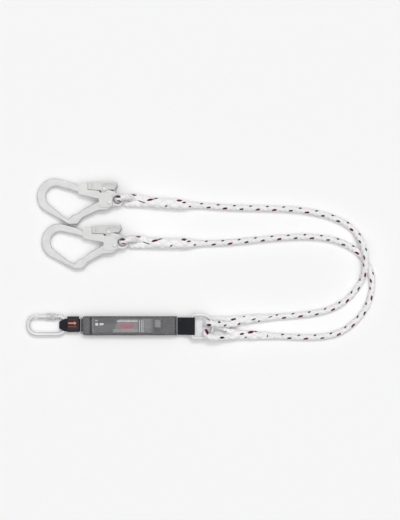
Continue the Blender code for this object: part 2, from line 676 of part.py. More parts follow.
def harness_loop_path():
    """Side view of the harness loop: flat on top, and round the end of the karabiner."""
    start = PACK_LEFT + PACK_END_ROOM - CLEARANCE
    radius = ROD / 2 + HARNESS_LOOP_ROOM + WEBBING / 2
    left = HARNESS_LOOP_LEFT + WEBBING / 2 + radius
    rod_end = OVAL_RIGHT_X + OVAL_RADIUS + ROD / 2
    low = KARABINER_Z - radius
    inner = KARABINER_Z + radius - WEBBING - HARNESS_LOOP_GAP
    turn = arc((left, KARABINER_Z), radius, 90, 270, 10)
    rise = [(rod_end - 4 * MM, low), (rod_end + 1.5 * MM, low + 2.2 * MM),
            (rod_end + 8 * MM, inner - 1.5 * MM), (rod_end + 13 * MM, inner)]
    full = HARNESS_LOOP_LEFT + HARNESS_LOOP_CHAMFER / HARNESS_LOOP_TAPER
    top = [(start, KARABINER_Z + radius), (full, KARABINER_Z + radius)]
    return top + turn + [(full, low)] + rise + [(start, inner)]


def build_tag():
    """Flat tag round the upper layer of the harness loop, open at both ends."""
    layer = KARABINER_Z + ROD / 2 + HARNESS_LOOP_ROOM + WEBBING / 2
    inner = WEBBING / 2 + CLEARANCE
    half = TAG_WIDTH / 2
    section = [(TAG_Y - half, layer + inner + TAG_WALL), (TAG_Y - half, layer - inner - TAG_WALL),
               (TAG_Y + half, layer - inner - TAG_WALL), (TAG_Y + half, layer + inner + TAG_WALL)]
    work = bmesh.new()
    rings = []
    for x in (TAG_LEFT, TAG_RIGHT):
        rings.append([work.verts.new((x, y, z)) for y, z in section])
    for index in range(4):
        follow = (index + 1) % 4
        work.faces.new((rings[0][index], rings[0][follow], rings[1][follow], rings[1][index]))
    tag = link("harness_loop_tag", finish_mesh("harness_loop_tag", work), TAG_CLOTH)
    wall = tag.modifiers.new("wall", "SOLIDIFY")
    wall.thickness = TAG_WALL
    wall.offset = -1
    wall.use_even_offset = True


def build_webbing():
    """Both webbing loops and the tag on the harness loop."""
    full = HARNESS_LOOP_WIDTH / 2

    def tapered(x):
        return full - max(0.0, HARNESS_LOOP_CHAMFER - HARNESS_LOOP_TAPER * (x - HARNESS_LOOP_LEFT))

    strip("ring_loop", ring_loop_path(), RING_LOOP_Y, lambda x: RING_LOOP_WIDTH / 2, BLACK_WEBBING)
    strip("harness_loop", harness_loop_path(), HARNESS_LOOP_Y, tapered, BLACK_WEBBING)
    build_tag()


def build_ring():
    """D-ring: one bar bent to a straight side and a round bow."""
    flat = rounded([(RING_BAR_X, RING_Y + RING_RADIUS, RING_CORNER),
                    (RING_BAR_X, RING_Y - RING_RADIUS, RING_CORNER),
                    (BOW_CENTRE_X, RING_Y - RING_RADIUS), (BOW_CENTRE_X, RING_Y + RING_RADIUS)])
    flat = flat[:-1] + arc((BOW_CENTRE_X, RING_Y), RING_RADIUS, -90, 90, 14)[1:]
    path = [Vector((x, y, RING_Z)) for x, y in flat]
    link("d_ring", tube("d_ring", path, RING_BAR / 2, 3, cyclic=True), STEEL)


# Rope legs


def throat_strands(throat, forward, tilt, side):
    """Centres of the upper and the lower strand where an eye meets its splice."""
    half = ROPE_RADIUS + EYE_STRAND_GAP / 2
    across = Vector((-forward.y, forward.x, 0)) * (side * half * math.cos(tilt))
    lift = Vector((0, 0, half * math.sin(tilt)))
    centre = Vector((throat.x, throat.y, ROPE_RADIUS + lift.z))
    return centre + across + lift, centre - across - lift


def hook_eye_line(bar, upper_end, lower_end, aim):
    """Centre line of an eye hooked round a level bar, its strands soon side by side."""
    along = Vector((math.cos(aim), math.sin(aim), 0))
    across = Vector((-along.y, along.x, 0))
    radius = HOOK_EYE_CROWN
    bend = []
    for step in range(9):
        angle = math.pi * step / 8
        lean = across * (HOOK_EYE_LEAN * math.cos(angle) ** 3)
        lift = Vector((0, 0, radius * math.cos(angle)))
        bend.append(bar - along * (radius * math.sin(angle)) + lean + lift)
    strands = []
    for start, end in ((bend[0], upper_end), (bend[-1], lower_end)):
        strand = []
        for step in range(1, 6):
            share = step / 5
            spot = start.lerp(end, share)
            early = 1 - (1 - min(1.0, 2.2 * share)) ** 2
            spot.y = start.y + (end.y - start.y) * early
            spot.z = start.z + (end.z - start.z) * ease(share)
            strand.append(spot)
        strands.append(strand)
    return list(reversed(strands[0])) + bend + strands[1]


def eye_part(name, upper, lower, forward, between):
    """Rope tube from one strand end to the other, both ends square to the splice."""
    lead = forward * (4 * MM)
    path = smooth_curve([upper - lead] + between + [lower - lead], 8)
    path = stretch(path, 0, line_length(path), EYE_POINT_SPACING)
    for spot in path:
        spot.z = max(spot.z, ROPE_RADIUS)
    link(name, tube(name, [upper] + path + [lower], ROPE_RADIUS, 3), ROPE)


def splice(name, route, shape, start_tilt, side, at_start):
    """Spliced part of a leg: two strands wide at the eye, round, then down to the rope."""
    length, diameter, hold = shape
    line = smooth_curve([Vector(point) * MM for point in route])
    total = line_length(line)
    if not at_start:
        line = list(reversed(line))
    spots = stretch(line, CLEARANCE, length, 12.5 * MM)
    strand = ROPE_RADIUS + EYE_STRAND_GAP / 2
    work = bmesh.new()
    rings = []
    sides = 14
    for index, spot in enumerate(spots):
        share = index / (len(spots) - 1)
        ahead = spots[min(index + 1, len(spots) - 1)] - spots[max(index - 1, 0)]
        forward = Vector((ahead.x, ahead.y, 0)).normalized()
        left = Vector((-forward.y, forward.x, 0))
        open_share = ease(max(0.0, 1 - share * length / SPLICE_JOINING))
        thinned = ease(max(0.0, share - hold) / (1 - hold))
        body = (diameter + (SPLICE_END_DIAMETER - diameter) * thinned) / 2
        wide = body + (strand + ROPE_RADIUS - body) * open_share
        thin = body + (ROPE_RADIUS + 0.3 * MM - body) * open_share
        tilt = start_tilt * open_share
        spread = left * (side * math.cos(tilt)) + Vector((0, 0, math.sin(tilt)))
        rise = left * (-side * math.sin(tilt)) + Vector((0, 0, math.cos(tilt)))
        height = math.hypot(wide * math.sin(tilt), thin * math.cos(tilt))
        centre = Vector((spot.x, spot.y, height))
        ring = []
        for step in range(sides):
            angle = 2 * math.pi * step / sides
            place = centre + spread * (wide * math.cos(angle)) + rise * (thin * math.sin(angle))
            ring.append(work.verts.new(place))
        rings.append(ring)
    for here, follow in zip(rings, rings[1:]):
        for step in range(sides):
            after = (step + 1) % sides
            work.faces.new((here[step], here[after], follow[after], follow[step]))
    work.faces.new(rings[0])
    work.faces.new(rings[-1])
    link(name, finish_mesh(name, work), ROPE)
    return total


def build_leg(side_name, route, ring_points, hook_eye, hook_turn):
    """One rope leg: hook eye, hook splice, free leg, ring splice and ring eye."""
    spots = [Vector(point) * MM for point in route]
    bar = Vector((*hook_eye, 0)) + Vector((math.cos(hook_turn), math.sin(hook_turn), 0)) * (
        EYE_BAR_OFFSET * math.cos(HOOK_PITCH))
    bar.z = EYE_BAR_Z
    forward = (spots[1] - spots[0]).normalized()
    upper, lower = throat_strands(spots[0], forward, HOOK_THROAT_TILT, 1)
    aim = math.atan2(spots[0].y - bar.y, spots[0].x - bar.x)
    lead = forward * (4 * MM)
    bend = hook_eye_line(bar, upper - lead, lower - lead, aim)
    eye_part(side_name + "_hook_eye", upper, lower, forward, bend[1:-1])
    splice(side_name + "_hook_splice", route, HOOK_SPLICE, HOOK_THROAT_TILT, 1, True)

    forward = (spots[-2] - spots[-1]).normalized()
    upper, lower = throat_strands(spots[-1], forward, RING_EYE_THROAT_TILT, -1)
    bend = [Vector(point) * MM for point in ring_points]
    eye_part(side_name + "_ring_eye", upper, lower, forward, bend)
    total = splice(side_name + "_ring_splice", route, RING_SPLICE, RING_EYE_THROAT_TILT, -1, False)

    line = smooth_curve(spots)
    points = stretch(line, HOOK_SPLICE[0] + CLEARANCE, total - RING_SPLICE[0] - CLEARANCE,
                     LEG_POINT_SPACING)
    for point in points:
        point.z = max(point.z, ROPE_RADIUS)
    link(side_name + "_rope_leg", tube(side_name + "_rope_leg", points, ROPE_RADIUS, 3), ROPE)


# Hooks


def scaled(points):
    """Outline points counted in hook units, as lengths."""
    return [tuple(value * HOOK_UNIT for value in point) for point in points]


def hook_outline():
    """Outline of the forged body: nose, bow, spine, rope eye and the lug of the lock lever."""
    corners = scaled([(-98.3, 18.3, 4.5), (-98.3, 37, 4.5)])
    corners += arc((BOW_X, BOW_Y), BOW_OUTER, 74, 233, 15)
    corners += scaled([
        (-121, -62.5, 9), (-98.5, -61, 6), (-88, -46.5, 12), (-48, -27.5, 12), (-25, -27, 12)])
    corners += arc((0, 0), EYE_OUTER, -117, 117, 14)
    corners += scaled([(-15, 17)])
    corners += arc(LEVER_PIVOT, 8.5 * HOOK_UNIT, -10, 190, 9)
    corners += scaled([
        (-43, 12), (-46, -2.5, 6), (-66.5, -13.5, 30), (-88, -25, 10), (-100, -35, 10),
        (-113, -38.5, 10), (-123.5, -49, 3), (-137, -40.5, 10)])
    corners += arc((BOW_X + 4.5 * HOOK_UNIT, BOW_Y - 2 * HOOK_UNIT), BOW_INNER, 228, 78, 13)
    corners += scaled([(-120, 25, 60)])
    return rounded(corners)


def hook_body(side_name, frame):
    """Forged body with its thinned rope eye and the pockets of the two springs."""
    half = HOOK_THICKNESS / 2
    name = side_name + "_hook_body"
    body = plate_part(name, hook_outline(), -half, half, FORGED, frame, HOOK_CHAMFER)
    face = EYE_THICKNESS / 2
    wide = EYE_OUTER + MM
    pocket = SPRING_POCKET / 2
    cutters = [
        ("eye_hole", cylinder("eye_hole", EYE_HOLE, -2 * half, 2 * half, (0, 0), 24)),
        ("eye_face_top", cylinder("eye_face_top", wide, face, 2 * half, (0, 0), 28)),
        ("eye_face_under", cylinder("eye_face_under", wide, -2 * half, -face, (0, 0), 28)),
    ]
    for label, pivot in (("gate", GATE_PIVOT), ("lever", LEVER_PIVOT)):
        cutters.append((label + "_pocket", cylinder("pocket", pocket, half - SPRING_POCKET_DEPTH,
                                                    2 * half, pivot, 16)))
        cutters.append((label + "_bore", cylinder("bore", HOOK_RIVET / 2 + CLEARANCE, -2 * half,
                                                  2 * half, pivot, 14)))
    for label, mesh in cutters:
        cut(body, link(side_name + "_" + label, mesh, FORGED, frame))
    return body


def gate_outline():
    """Outline of the gate's cheeks round the hook's own zero."""
    return rounded(scaled([
        (-97.5, 12.5, 3), (-64.5, 4.8, 20), (-46, 0.5, 4), (-38, -10, 8), (-25, -17.5, 8),
        (-12.5, -16.5, 6), (-11, 8, 6), (-22, 17.3, 6), (-42, 17.3, 4), (-46, 21.3, 2),
        (-74.4, 23.9, 1), (-74.4, 42.3, 1), (-88, 41.5, 6), (-97.5, 35.8, 4)]))


def hook_gate(side_name, pivot):
    """Gate of folded sheet: two cheeks over the body, joined at the tip and along the inside."""
    shift = Matrix.Translation((-GATE_PIVOT[0], -GATE_PIVOT[1], 0))
    outer = CHEEK_OUTER + REAR_PAD
    mesh = plate(side_name + "_hook_gate", gate_outline(), -outer, outer, 0.7 * MM)
    mesh.transform(shift)
    gate = link(side_name + "_hook_gate", mesh, SHEET_METAL, pivot)
    inside = scaled([(-110, 17.9), (-76, 9.2), (-76, -60), (20, -60), (20, 60), (-72, 60),
                     (-72, 40.2), (-85, 39.6), (-85, 60), (-110, 60)])
    cutters = [("gate_inside", plate("gate_inside", inside, -CHEEK, CHEEK))]
    left, right, top = -120 * HOOK_UNIT, -46 * HOOK_UNIT, 60 * HOOK_UNIT
    for label, low, high in (("top", CHEEK_OUTER, 2 * outer), ("under", -2 * outer, -CHEEK_OUTER)):
        cutters.append(("gate_step_" + label, box("gate_step", (left, -top, low), (right, top, high))))
    cutters.append(("gate_rivet_bore", cylinder("gate_rivet_bore", HOOK_RIVET / 2 + CLEARANCE,
                                                -2 * outer, 2 * outer, GATE_PIVOT, 14)))
    for label, mesh in cutters:
        mesh.transform(shift)
        cut(gate, link(side_name + "_" + label, mesh, SHEET_METAL, pivot))


def hook_lever(side_name, pivot):
    """Lock lever of folded sheet along the back of the gate."""
    shift = Matrix.Translation((-LEVER_PIVOT[0], -LEVER_PIVOT[1], 0))
    corners = scaled([(-73, 25.6, 1), (-47, 23.2, 6)])
    corners += arc(LEVER_PIVOT, LEVER_LOBE, 215, 325, 6)
    corners += scaled([(-22, 25), (-7.5, 24.5, 3), (0, 33, 4), (-3, 43.8, 4), (-73, 43.3, 2)])
    mesh = plate(side_name + "_hook_lock_lever", rounded(corners), -CHEEK_OUTER, CHEEK_OUTER, 0.7 * MM)
    mesh.transform(shift)
    lever = link(side_name + "_hook_lock_lever", mesh, SHEET_METAL, pivot)
    inside = scaled([(-80, 0), (20, 0), (20, 30), (-6, 41.5), (-80, 41.2)])
    bore = cylinder("lever_bore", HOOK_RIVET / 2 + CLEARANCE, -2 * CHEEK_OUTER, 2 * CHEEK_OUTER,
                    LEVER_PIVOT, 14)
    for label, mesh in (("lever_inside", plate("lever_inside", inside, -CHEEK, CHEEK)),
                        ("lever_bore", bore)):
        mesh.transform(shift)
        cut(lever, link(side_name + "_" + label, mesh, SHEET_METAL, pivot))


def hook_rivet_and_spring(side_name, label, pivot, outer):
    """Rivet through body and cheeks, and the torsion spring in the body's pocket."""
    shank = HOOK_RIVET / 2
    head = HOOK_RIVET_HEAD / 2
    face = outer + CLEARANCE
    profile = [(0, face + 1.3 * MM), (0.6 * head, face + 1.1 * MM), (head, face + 0.4 * MM),
               (head, face), (shank, face)]
    profile += [(radius, -height) for radius, height in reversed(profile)]
    turned(side_name + "_hook_" + label + "_rivet", profile, STEEL, pivot, steps=16)
    floor = HOOK_THICKNESS / 2 - SPRING_POCKET_DEPTH + CLEARANCE
    wire = HOOK_SPRING_WIRE
    rise = 1.25 * wire
    line = coil((HOOK_SPRING_DIAMETER - wire) / 2, wire, HOOK_SPRING_TURNS, floor, rise)
    name = side_name + "_hook_" + label + "_spring"
    link(name, tube(name, line, wire / 2, 1), SPRING_STEEL, pivot)


def build_hook(side_name, eye, turn):
    """One hook on an empty at its rope eye, tipped so that the bow rests on the surface."""
    rotation = Matrix.Rotation(turn, 3, "Z") @ Matrix.Rotation(-HOOK_PITCH, 3, "Y")
    frame = frame_empty(side_name + "_hook_swing_axis", (*eye, HOOK_Z), rotation)
    gate_pivot = frame_empty(side_name + "_gate_axis", (*GATE_PIVOT, 0), parent=frame)
    lever_pivot = frame_empty(side_name + "_lever_axis", (*LEVER_PIVOT, 0), parent=frame)
    hook_body(side_name, frame)
    hook_gate(side_name, gate_pivot)
    hook_lever(side_name, lever_pivot)
    hook_rivet_and_spring(side_name, "gate", gate_pivot, CHEEK_OUTER + REAR_PAD)
    hook_rivet_and_spring(side_name, "lever", lever_pivot, CHEEK_OUTER)


build_karabiner()
build_cover()
build_tear_webbing()
build_webbing()
build_ring()
build_leg("upper", UPPER_ROUTE, UPPER_RING_EYE, UPPER_EYE, UPPER_TURN)
build_leg("lower", LOWER_ROUTE, LOWER_RING_EYE, LOWER_EYE, LOWER_TURN)
build_hook("upper", UPPER_EYE, UPPER_TURN)
build_hook("lower", LOWER_EYE, LOWER_TURN)
bpy.context.view_layer.update()
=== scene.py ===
"""Display scene of a twin shock-absorbing lanyard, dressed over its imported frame.

Lengths are metres in the frame's own axes: +Z up, zero on the underside of the absorber pack, the
karabiner towards -X and the two hooks towards -X and +Y.
"""

from __future__ import annotations

import logging
import math
from dataclasses import dataclass, field
from enum import Enum
from typing import Callable, Optional, Sequence, Union

import bmesh
import bpy
from mathutils import Matrix, Vector, noise

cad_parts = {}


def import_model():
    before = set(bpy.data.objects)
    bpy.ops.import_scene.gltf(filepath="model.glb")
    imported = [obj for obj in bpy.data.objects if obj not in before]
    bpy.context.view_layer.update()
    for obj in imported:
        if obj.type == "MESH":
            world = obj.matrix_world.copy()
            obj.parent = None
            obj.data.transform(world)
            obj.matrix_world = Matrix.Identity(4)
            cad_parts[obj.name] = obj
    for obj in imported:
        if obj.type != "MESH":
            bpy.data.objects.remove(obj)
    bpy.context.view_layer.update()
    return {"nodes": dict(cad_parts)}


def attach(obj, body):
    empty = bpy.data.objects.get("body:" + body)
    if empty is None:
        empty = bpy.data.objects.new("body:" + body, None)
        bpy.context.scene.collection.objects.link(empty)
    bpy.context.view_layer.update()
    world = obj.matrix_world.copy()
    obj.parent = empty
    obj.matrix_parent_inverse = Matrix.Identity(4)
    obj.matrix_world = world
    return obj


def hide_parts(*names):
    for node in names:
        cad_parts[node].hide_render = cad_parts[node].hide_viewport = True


LOG = logging.getLogger("twin_lanyard")
MM = 0.001
CLEARANCE = 0.3 * MM
WELD = 0.002 * MM
UP = Vector((0.0, 0.0, 1.0))

Colour = tuple[float, float, float]
Flat = tuple[float, ...]
Section = Callable[[float, float], Flat]

# Routes of the legs from the hook's throat to the ring's, and of the eyes round the ring, in
# millimetres
UPPER_ROUTE = (
    (16.3, 311.8, 8), (68.8, 306.3, 8), (123.8, 302.3, 8), (173.8, 299.5, 8),
    (223.8, 296.3, 8), (273.8, 293.8, 8), (323.8, 292.8, 8), (373.8, 291.3, 8),
    (423.8, 288.0, 8), (462.8, 281.5, 8), (499.8, 271.5, 8), (534.8, 256.0, 8),
    (559.3, 236.5, 9), (575.0, 211.0, 18), (583.3, 186.0, 25.5), (586.5, 161.3, 26),
    (584.3, 137.5, 21.5), (576.8, 112.5, 10), (561.5, 87.8, 8), (541.0, 66.3, 8),
    (516.8, 49.0, 8), (487.8, 37.3, 8), (456.3, 30.5, 8), (398.8, 24.3, 8),
    (348.8, 20.5, 8), (298.8, 16.8, 8), (248.8, 9.8, 8),
)
LOWER_ROUTE = (
    (28.0, 208.3, 8), (73.8, 206.0, 8), (123.8, 205.3, 8), (173.8, 205.3, 8),
    (211.3, 206.0, 8), (248.8, 208.0, 8), (286.3, 211.3, 8), (323.8, 215.0, 8),
    (368.8, 218.8, 8), (422.5, 221.8, 8), (453.8, 221.3, 8), (498.8, 216.3, 8),
    (524.3, 208.5, 8), (547.0, 198.0, 8), (564.5, 186.3, 8), (578.3, 172.0, 8),
    (589.3, 156.3, 8), (597.8, 138.8, 8), (602.5, 118.8, 8), (602.8, 94.8, 8),
    (598.3, 70.5, 8), (588.3, 44.8, 8), (572.5, 21.8, 8), (551.0, 1.5, 8),
    (528.0, -14.3, 8), (499.3, -24.3, 8), (463.3, -28.5, 8), (427.5, -28.8, 8),
    (398.8, -27.8, 8), (348.8, -25.5, 8), (298.8, -23.3, 8), (248.8, -21.0, 8),
)
UPPER_RING_EYE = (
    (235, 3.9, 22.5), (222, 4.3, 28), (211, 4.7, 32), (202, 5.2, 33.3), (194.5, 6.3, 30),
    (189.3, 8.3, 22), (188.5, 11.3, 13.8), (194, 14.5, 8.7), (203, 16.4, 8), (225, 16.8, 8),
)
LOWER_RING_EYE = (
    (235, -27.8, 22.5), (222, -28.4, 28), (210, -28.4, 32.3), (200, -27.2, 33.6),
    (193, -23.5, 32.9), (188.5, -18.2, 29.5), (187.8, -13.5, 21), (190.5, -9.4, 13.5),
    (196.5, -5.2, 8.8), (206, -2, 8), (222, -2.4, 8), (235, -7, 8),
)

# Tracer yarns that show on the eyes and splices: distance from the throat, distance to the left,
# half length, half width in millimetres, tilt in degrees, 1 for a red one
HOOK_STREAKS = (
    (-47.6, 4.1, 8.1, 3.1, 5, 1), (-43.7, -5.8, 4.9, 1.6, 5, 0), (-8, 13, 5.9, 1.8, -4, 1),
    (11.5, -1.6, 12.2, 1.4, -14.5, 0), (33, 5.2, 8.6, 2.7, 16, 1), (46.5, 9.6, 7.6, 1.6, 17, 0),
    (74, -6.4, 4.1, 2, 30, 0), (105.5, 9.4, 6.7, 3, 0, 1), (118.3, 5, 5.2, 2, 10, 1),
    (133.4, -4.1, 3.2, 2, 20, 1),
)
UPPER_RING_STREAKS = (
    (-53, 0, 5.9, 3.4, -8, 1), (-27, 3.5, 3.7, 2.9, -10, 0), (-13.8, -6.6, 4.3, 2.3, 25, 0),
    (9, 5, 7.8, 2.9, 6, 0), (21, -8.5, 4.3, 2.1, 15, 1), (35.5, 8, 3.5, 1.4, 0, 0),
    (59, -1.4, 6.5, 2, 14, 0), (72.5, -7, 3.5, 2.1, 30, 0), (101, 1.5, 5.9, 1.6, 10, 0),
)
LOWER_RING_STREAKS = (
    (-58.5, 4.6, 8.4, 3.9, -65, 1), (-20, -9, 6.7, 3.1, 2, 0), (-11, 6, 2.2, 1.6, 0, 0),
    (28.7, 2, 6.7, 2.7, 16, 0), (39, -6.2, 4.1, 1.7, 30, 0), (51, 7.3, 7.8, 3.2, 17, 1),
    (64, 9.6, 5.4, 1.6, 4, 1), (93, -0.5, 4.3, 1.7, 68, 0),
)


# Shading


class Value:
    """A number socket of a material that takes part in plain arithmetic."""

    def __init__(self, shading: "Shading", socket: bpy.types.NodeSocket) -> None:
        """Wrap a socket of the shading's node tree."""
        self.shading = shading
        self.socket = socket

    def maths(self, operation: str, *others: "Number") -> "Value":
        """Add one Math node.

        Args:
            operation: Name of the node's operation.
            *others: Its further operands.

        Returns:
            The node's result.
        """
        return self.shading.maths(operation, self, *others)

    def __add__(self, other: "Number") -> "Value":
        """Sum."""
        return self.maths("ADD", other)

    def __radd__(self, other: "Number") -> "Value":
        """Sum, reflected."""
        return self.shading.maths("ADD", other, self)

    def __sub__(self, other: "Number") -> "Value":
        """Difference."""
        return self.maths("SUBTRACT", other)

    def __rsub__(self, other: "Number") -> "Value":
        """Difference, reflected."""
        return self.shading.maths("SUBTRACT", other, self)

    def __mul__(self, other: "Number") -> "Value":
        """Product."""
        return self.maths("MULTIPLY", other)

    def __rmul__(self, other: "Number") -> "Value":
        """Product, reflected."""
        return self.shading.maths("MULTIPLY", other, self)

    def __truediv__(self, other: "Number") -> "Value":
        """Quotient."""
        return self.maths("DIVIDE", other)

    def __abs__(self) -> "Value":
        """Absolute value."""
        return self.maths("ABSOLUTE")

    def fraction(self) -> "Value":
        """Part after the decimal point."""
        return self.maths("FRACT")

    def floor(self) -> "Value":
        """Whole part."""
        return self.maths("FLOOR")

    def wave(self) -> "Value":
        """Sine with a period of 1."""
        return (self * (2 * math.pi)).maths("SINE")

    def within(self, centre: "Number", reach: "Number", soft: float) -> "Value":
        """Mask that is 1 near a centre and fades to 0.

        Args:
            centre: Middle of the band.
            reach: Half of its width.
            soft: Width of its soft edge.

        Returns:
            The mask.
        """
        return 1 - (abs(self - centre) - reach).step(0, soft)

    def step(self, low: float, high: float) -> "Value":
        """Smooth step from 0 at low to 1 at high."""
        sockets = {"Value": self, "From Min": low, "From Max": high}
        return self.shading.node("ShaderNodeMapRange", {"interpolation_type": "SMOOTHSTEP"}, sockets)


Number = Union[Value, float]


def shaded(colour: Colour, factor: float) -> Colour:
    """A colour with every channel multiplied."""
    return tuple(factor * channel for channel in colour)


class Shading:
    """Node tree of one material, or of the surroundings, with its shader."""

    def __init__(self, name: str, surroundings: bool = False) -> None:
        """Start a new material, or new surroundings."""
        kind = bpy.data.worlds if surroundings else bpy.data.materials
        self.owner = kind.new(name)
        self.owner.use_nodes = True
        self.tree = self.owner.node_tree
        self.shader = self.tree.nodes["Background" if surroundings else "Principled BSDF"]

    def feed(self, socket: bpy.types.NodeSocket, value: object) -> None:
        """Link a value to a socket, or set the socket's own number or colour."""
        if isinstance(value, Value):
            value = value.socket
        if isinstance(value, bpy.types.NodeSocket):
            self.tree.links.new(value, socket)
        elif isinstance(value, tuple) and socket.type == "RGBA":
            socket.default_value = (*value, 1.0)
        else:
            socket.default_value = value

    def node(self, kind: str, settings: Optional[dict] = None, sockets: Optional[dict] = None,
             output: Union[int, str] = 0) -> Value:
        """Add any node.

        Args:
            kind: Type of the node.
            settings: Its own settings, set first.
            sockets: Values or links of its inputs, by name or number.
            output: Which output is returned.

        Returns:
            That output.
        """
        made = self.tree.nodes.new(kind)
        for name, value in (settings or {}).items():
            setattr(made, name, value)
        for name, value in (sockets or {}).items():
            self.feed(made.inputs[name], value)
        return Value(self, made.outputs[output])

    def maths(self, operation: str, *values: Number) -> Value:
        """Add one Math node on numbers and sockets."""
        return self.node("ShaderNodeMath", {"operation": operation}, dict(enumerate(values)))

    def mix(self, factor: Number, first: object, second: object) -> Value:
        """Mix two colours.

        Args:
            factor: 0 for the first, 1 for the second.
            first: A colour or a colour socket.
            second: A colour or a colour socket.

        Returns:
            The mixed colour.
        """
        return self.node("ShaderNodeMix", {"data_type": "RGBA"}, {0: factor, 6: first, 7: second}, 2)

    def place(self) -> Value:
        """Object coordinates in metres."""
        return self.node("ShaderNodeTexCoord", output="Object")

    def attribute(self, name: str) -> Value:
        """A number that the mesh carries under a name."""
        return self.node("ShaderNodeAttribute", {"attribute_name": name}, output="Fac")

    def chart(self) -> tuple[Value, Value]:
        """The two numbers of a swept piece's UV map."""
        return self.parts(self.node("ShaderNodeUVMap", {"uv_map": "along"}))[:2]

    def turned_place(self, offset: Sequence[float], turn: Sequence[float],
                     scale: Sequence[float] = (1, 1, 1)) -> Value:
        """Object coordinates moved, turned and scaled by a Mapping node."""
        return self.node("ShaderNodeMapping", {"vector_type": "TEXTURE"},
                         {"Vector": self.place(), "Location": tuple(offset), "Rotation": tuple(turn),
                          "Scale": tuple(scale)})

    def parts(self, vector: Value) -> tuple[Value, Value, Value]:
        """The three numbers of a vector."""
        split = self.node("ShaderNodeSeparateXYZ", sockets={0: vector}).socket.node
        return tuple(Value(self, output) for output in split.outputs)

    def noise(self, vector: Value, scale: float, detail: float = 2.0) -> Value:
        """Noise between 0 and 1 at a scale per metre."""
        return self.node("ShaderNodeTexNoise", {},
                         {"Vector": vector, "Scale": scale, "Detail": detail})

    def bump(self, height: Value, depth: float, strength: float = 1.0,
             after: Optional[Value] = None) -> Value:
        """Add a Bump node.

        Args:
            height: Height between 0 and 1.
            depth: Depth in metres that a height of 1 stands for.
            strength: How much of it shows.
            after: An earlier bump under this one.

        Returns:
            The bent normal.
        """
        sockets = {"Height": height, "Distance": depth, "Strength": strength}
        if after is not None:
            sockets["Normal"] = after
        return self.node("ShaderNodeBump", {}, sockets)

    def finish(self, **sockets: object) -> bpy.types.ID:
        """Set or link the shader's inputs, spaces written as underscores."""
        for name, value in sockets.items():
            self.feed(self.shader.inputs[name.replace("_", " ")], value)
        return self.owner


@dataclass(frozen=True)
class MetalFinish:
    """A metal with fine grain, soft stains and painted shade on its side walls."""

    name: str
    colour: Colour
    roughness: float
    metallic: float = 1.0
    grain: float = 900.0
    grain_depth: float = 0.02 * MM
    stain: float = 0.12
    stretch: Sequence[float] = (1.0, 1.0, 1.0)
    # factor of the painted shade on the side walls
    side_shade: float = 1.0

    def material(self) -> bpy.types.Material:
        """The finished material."""
        shading = Shading(self.name)
        place = shading.turned_place((0, 0, 0), (0, 0, 0), self.stretch)
        fine = shading.noise(place, self.grain, 3)
        cloud = shading.noise(place, 45, 3).step(0.35, 0.7)
        dark = shaded(self.colour, 1 - self.stain)
        tint = shading.mix(cloud * 0.8 + fine * 0.2, dark, self.colour)
        # Painted shade: where the attribute "side" is high, on the walls, the colour is darkened by
        # side_shade
        edge = shading.attribute("side")
        tint = shading.mix(edge, tint, shaded(self.colour, self.side_shade))
        rough = (cloud * 0.5 + fine * 0.5 - 0.5) * (0.35 * self.roughness) + self.roughness
        normal = shading.bump(fine, self.grain_depth)
        return shading.finish(Base_Color=tint, Roughness=rough, Metallic=self.metallic, Normal=normal)


@dataclass(frozen=True)
class Streak:
    """A tracer yarn that shows on a rope over some height, seen from above the table."""

    spot: Flat
    reach: float
    breadth: float
    heading: float
    red: bool
    above: float


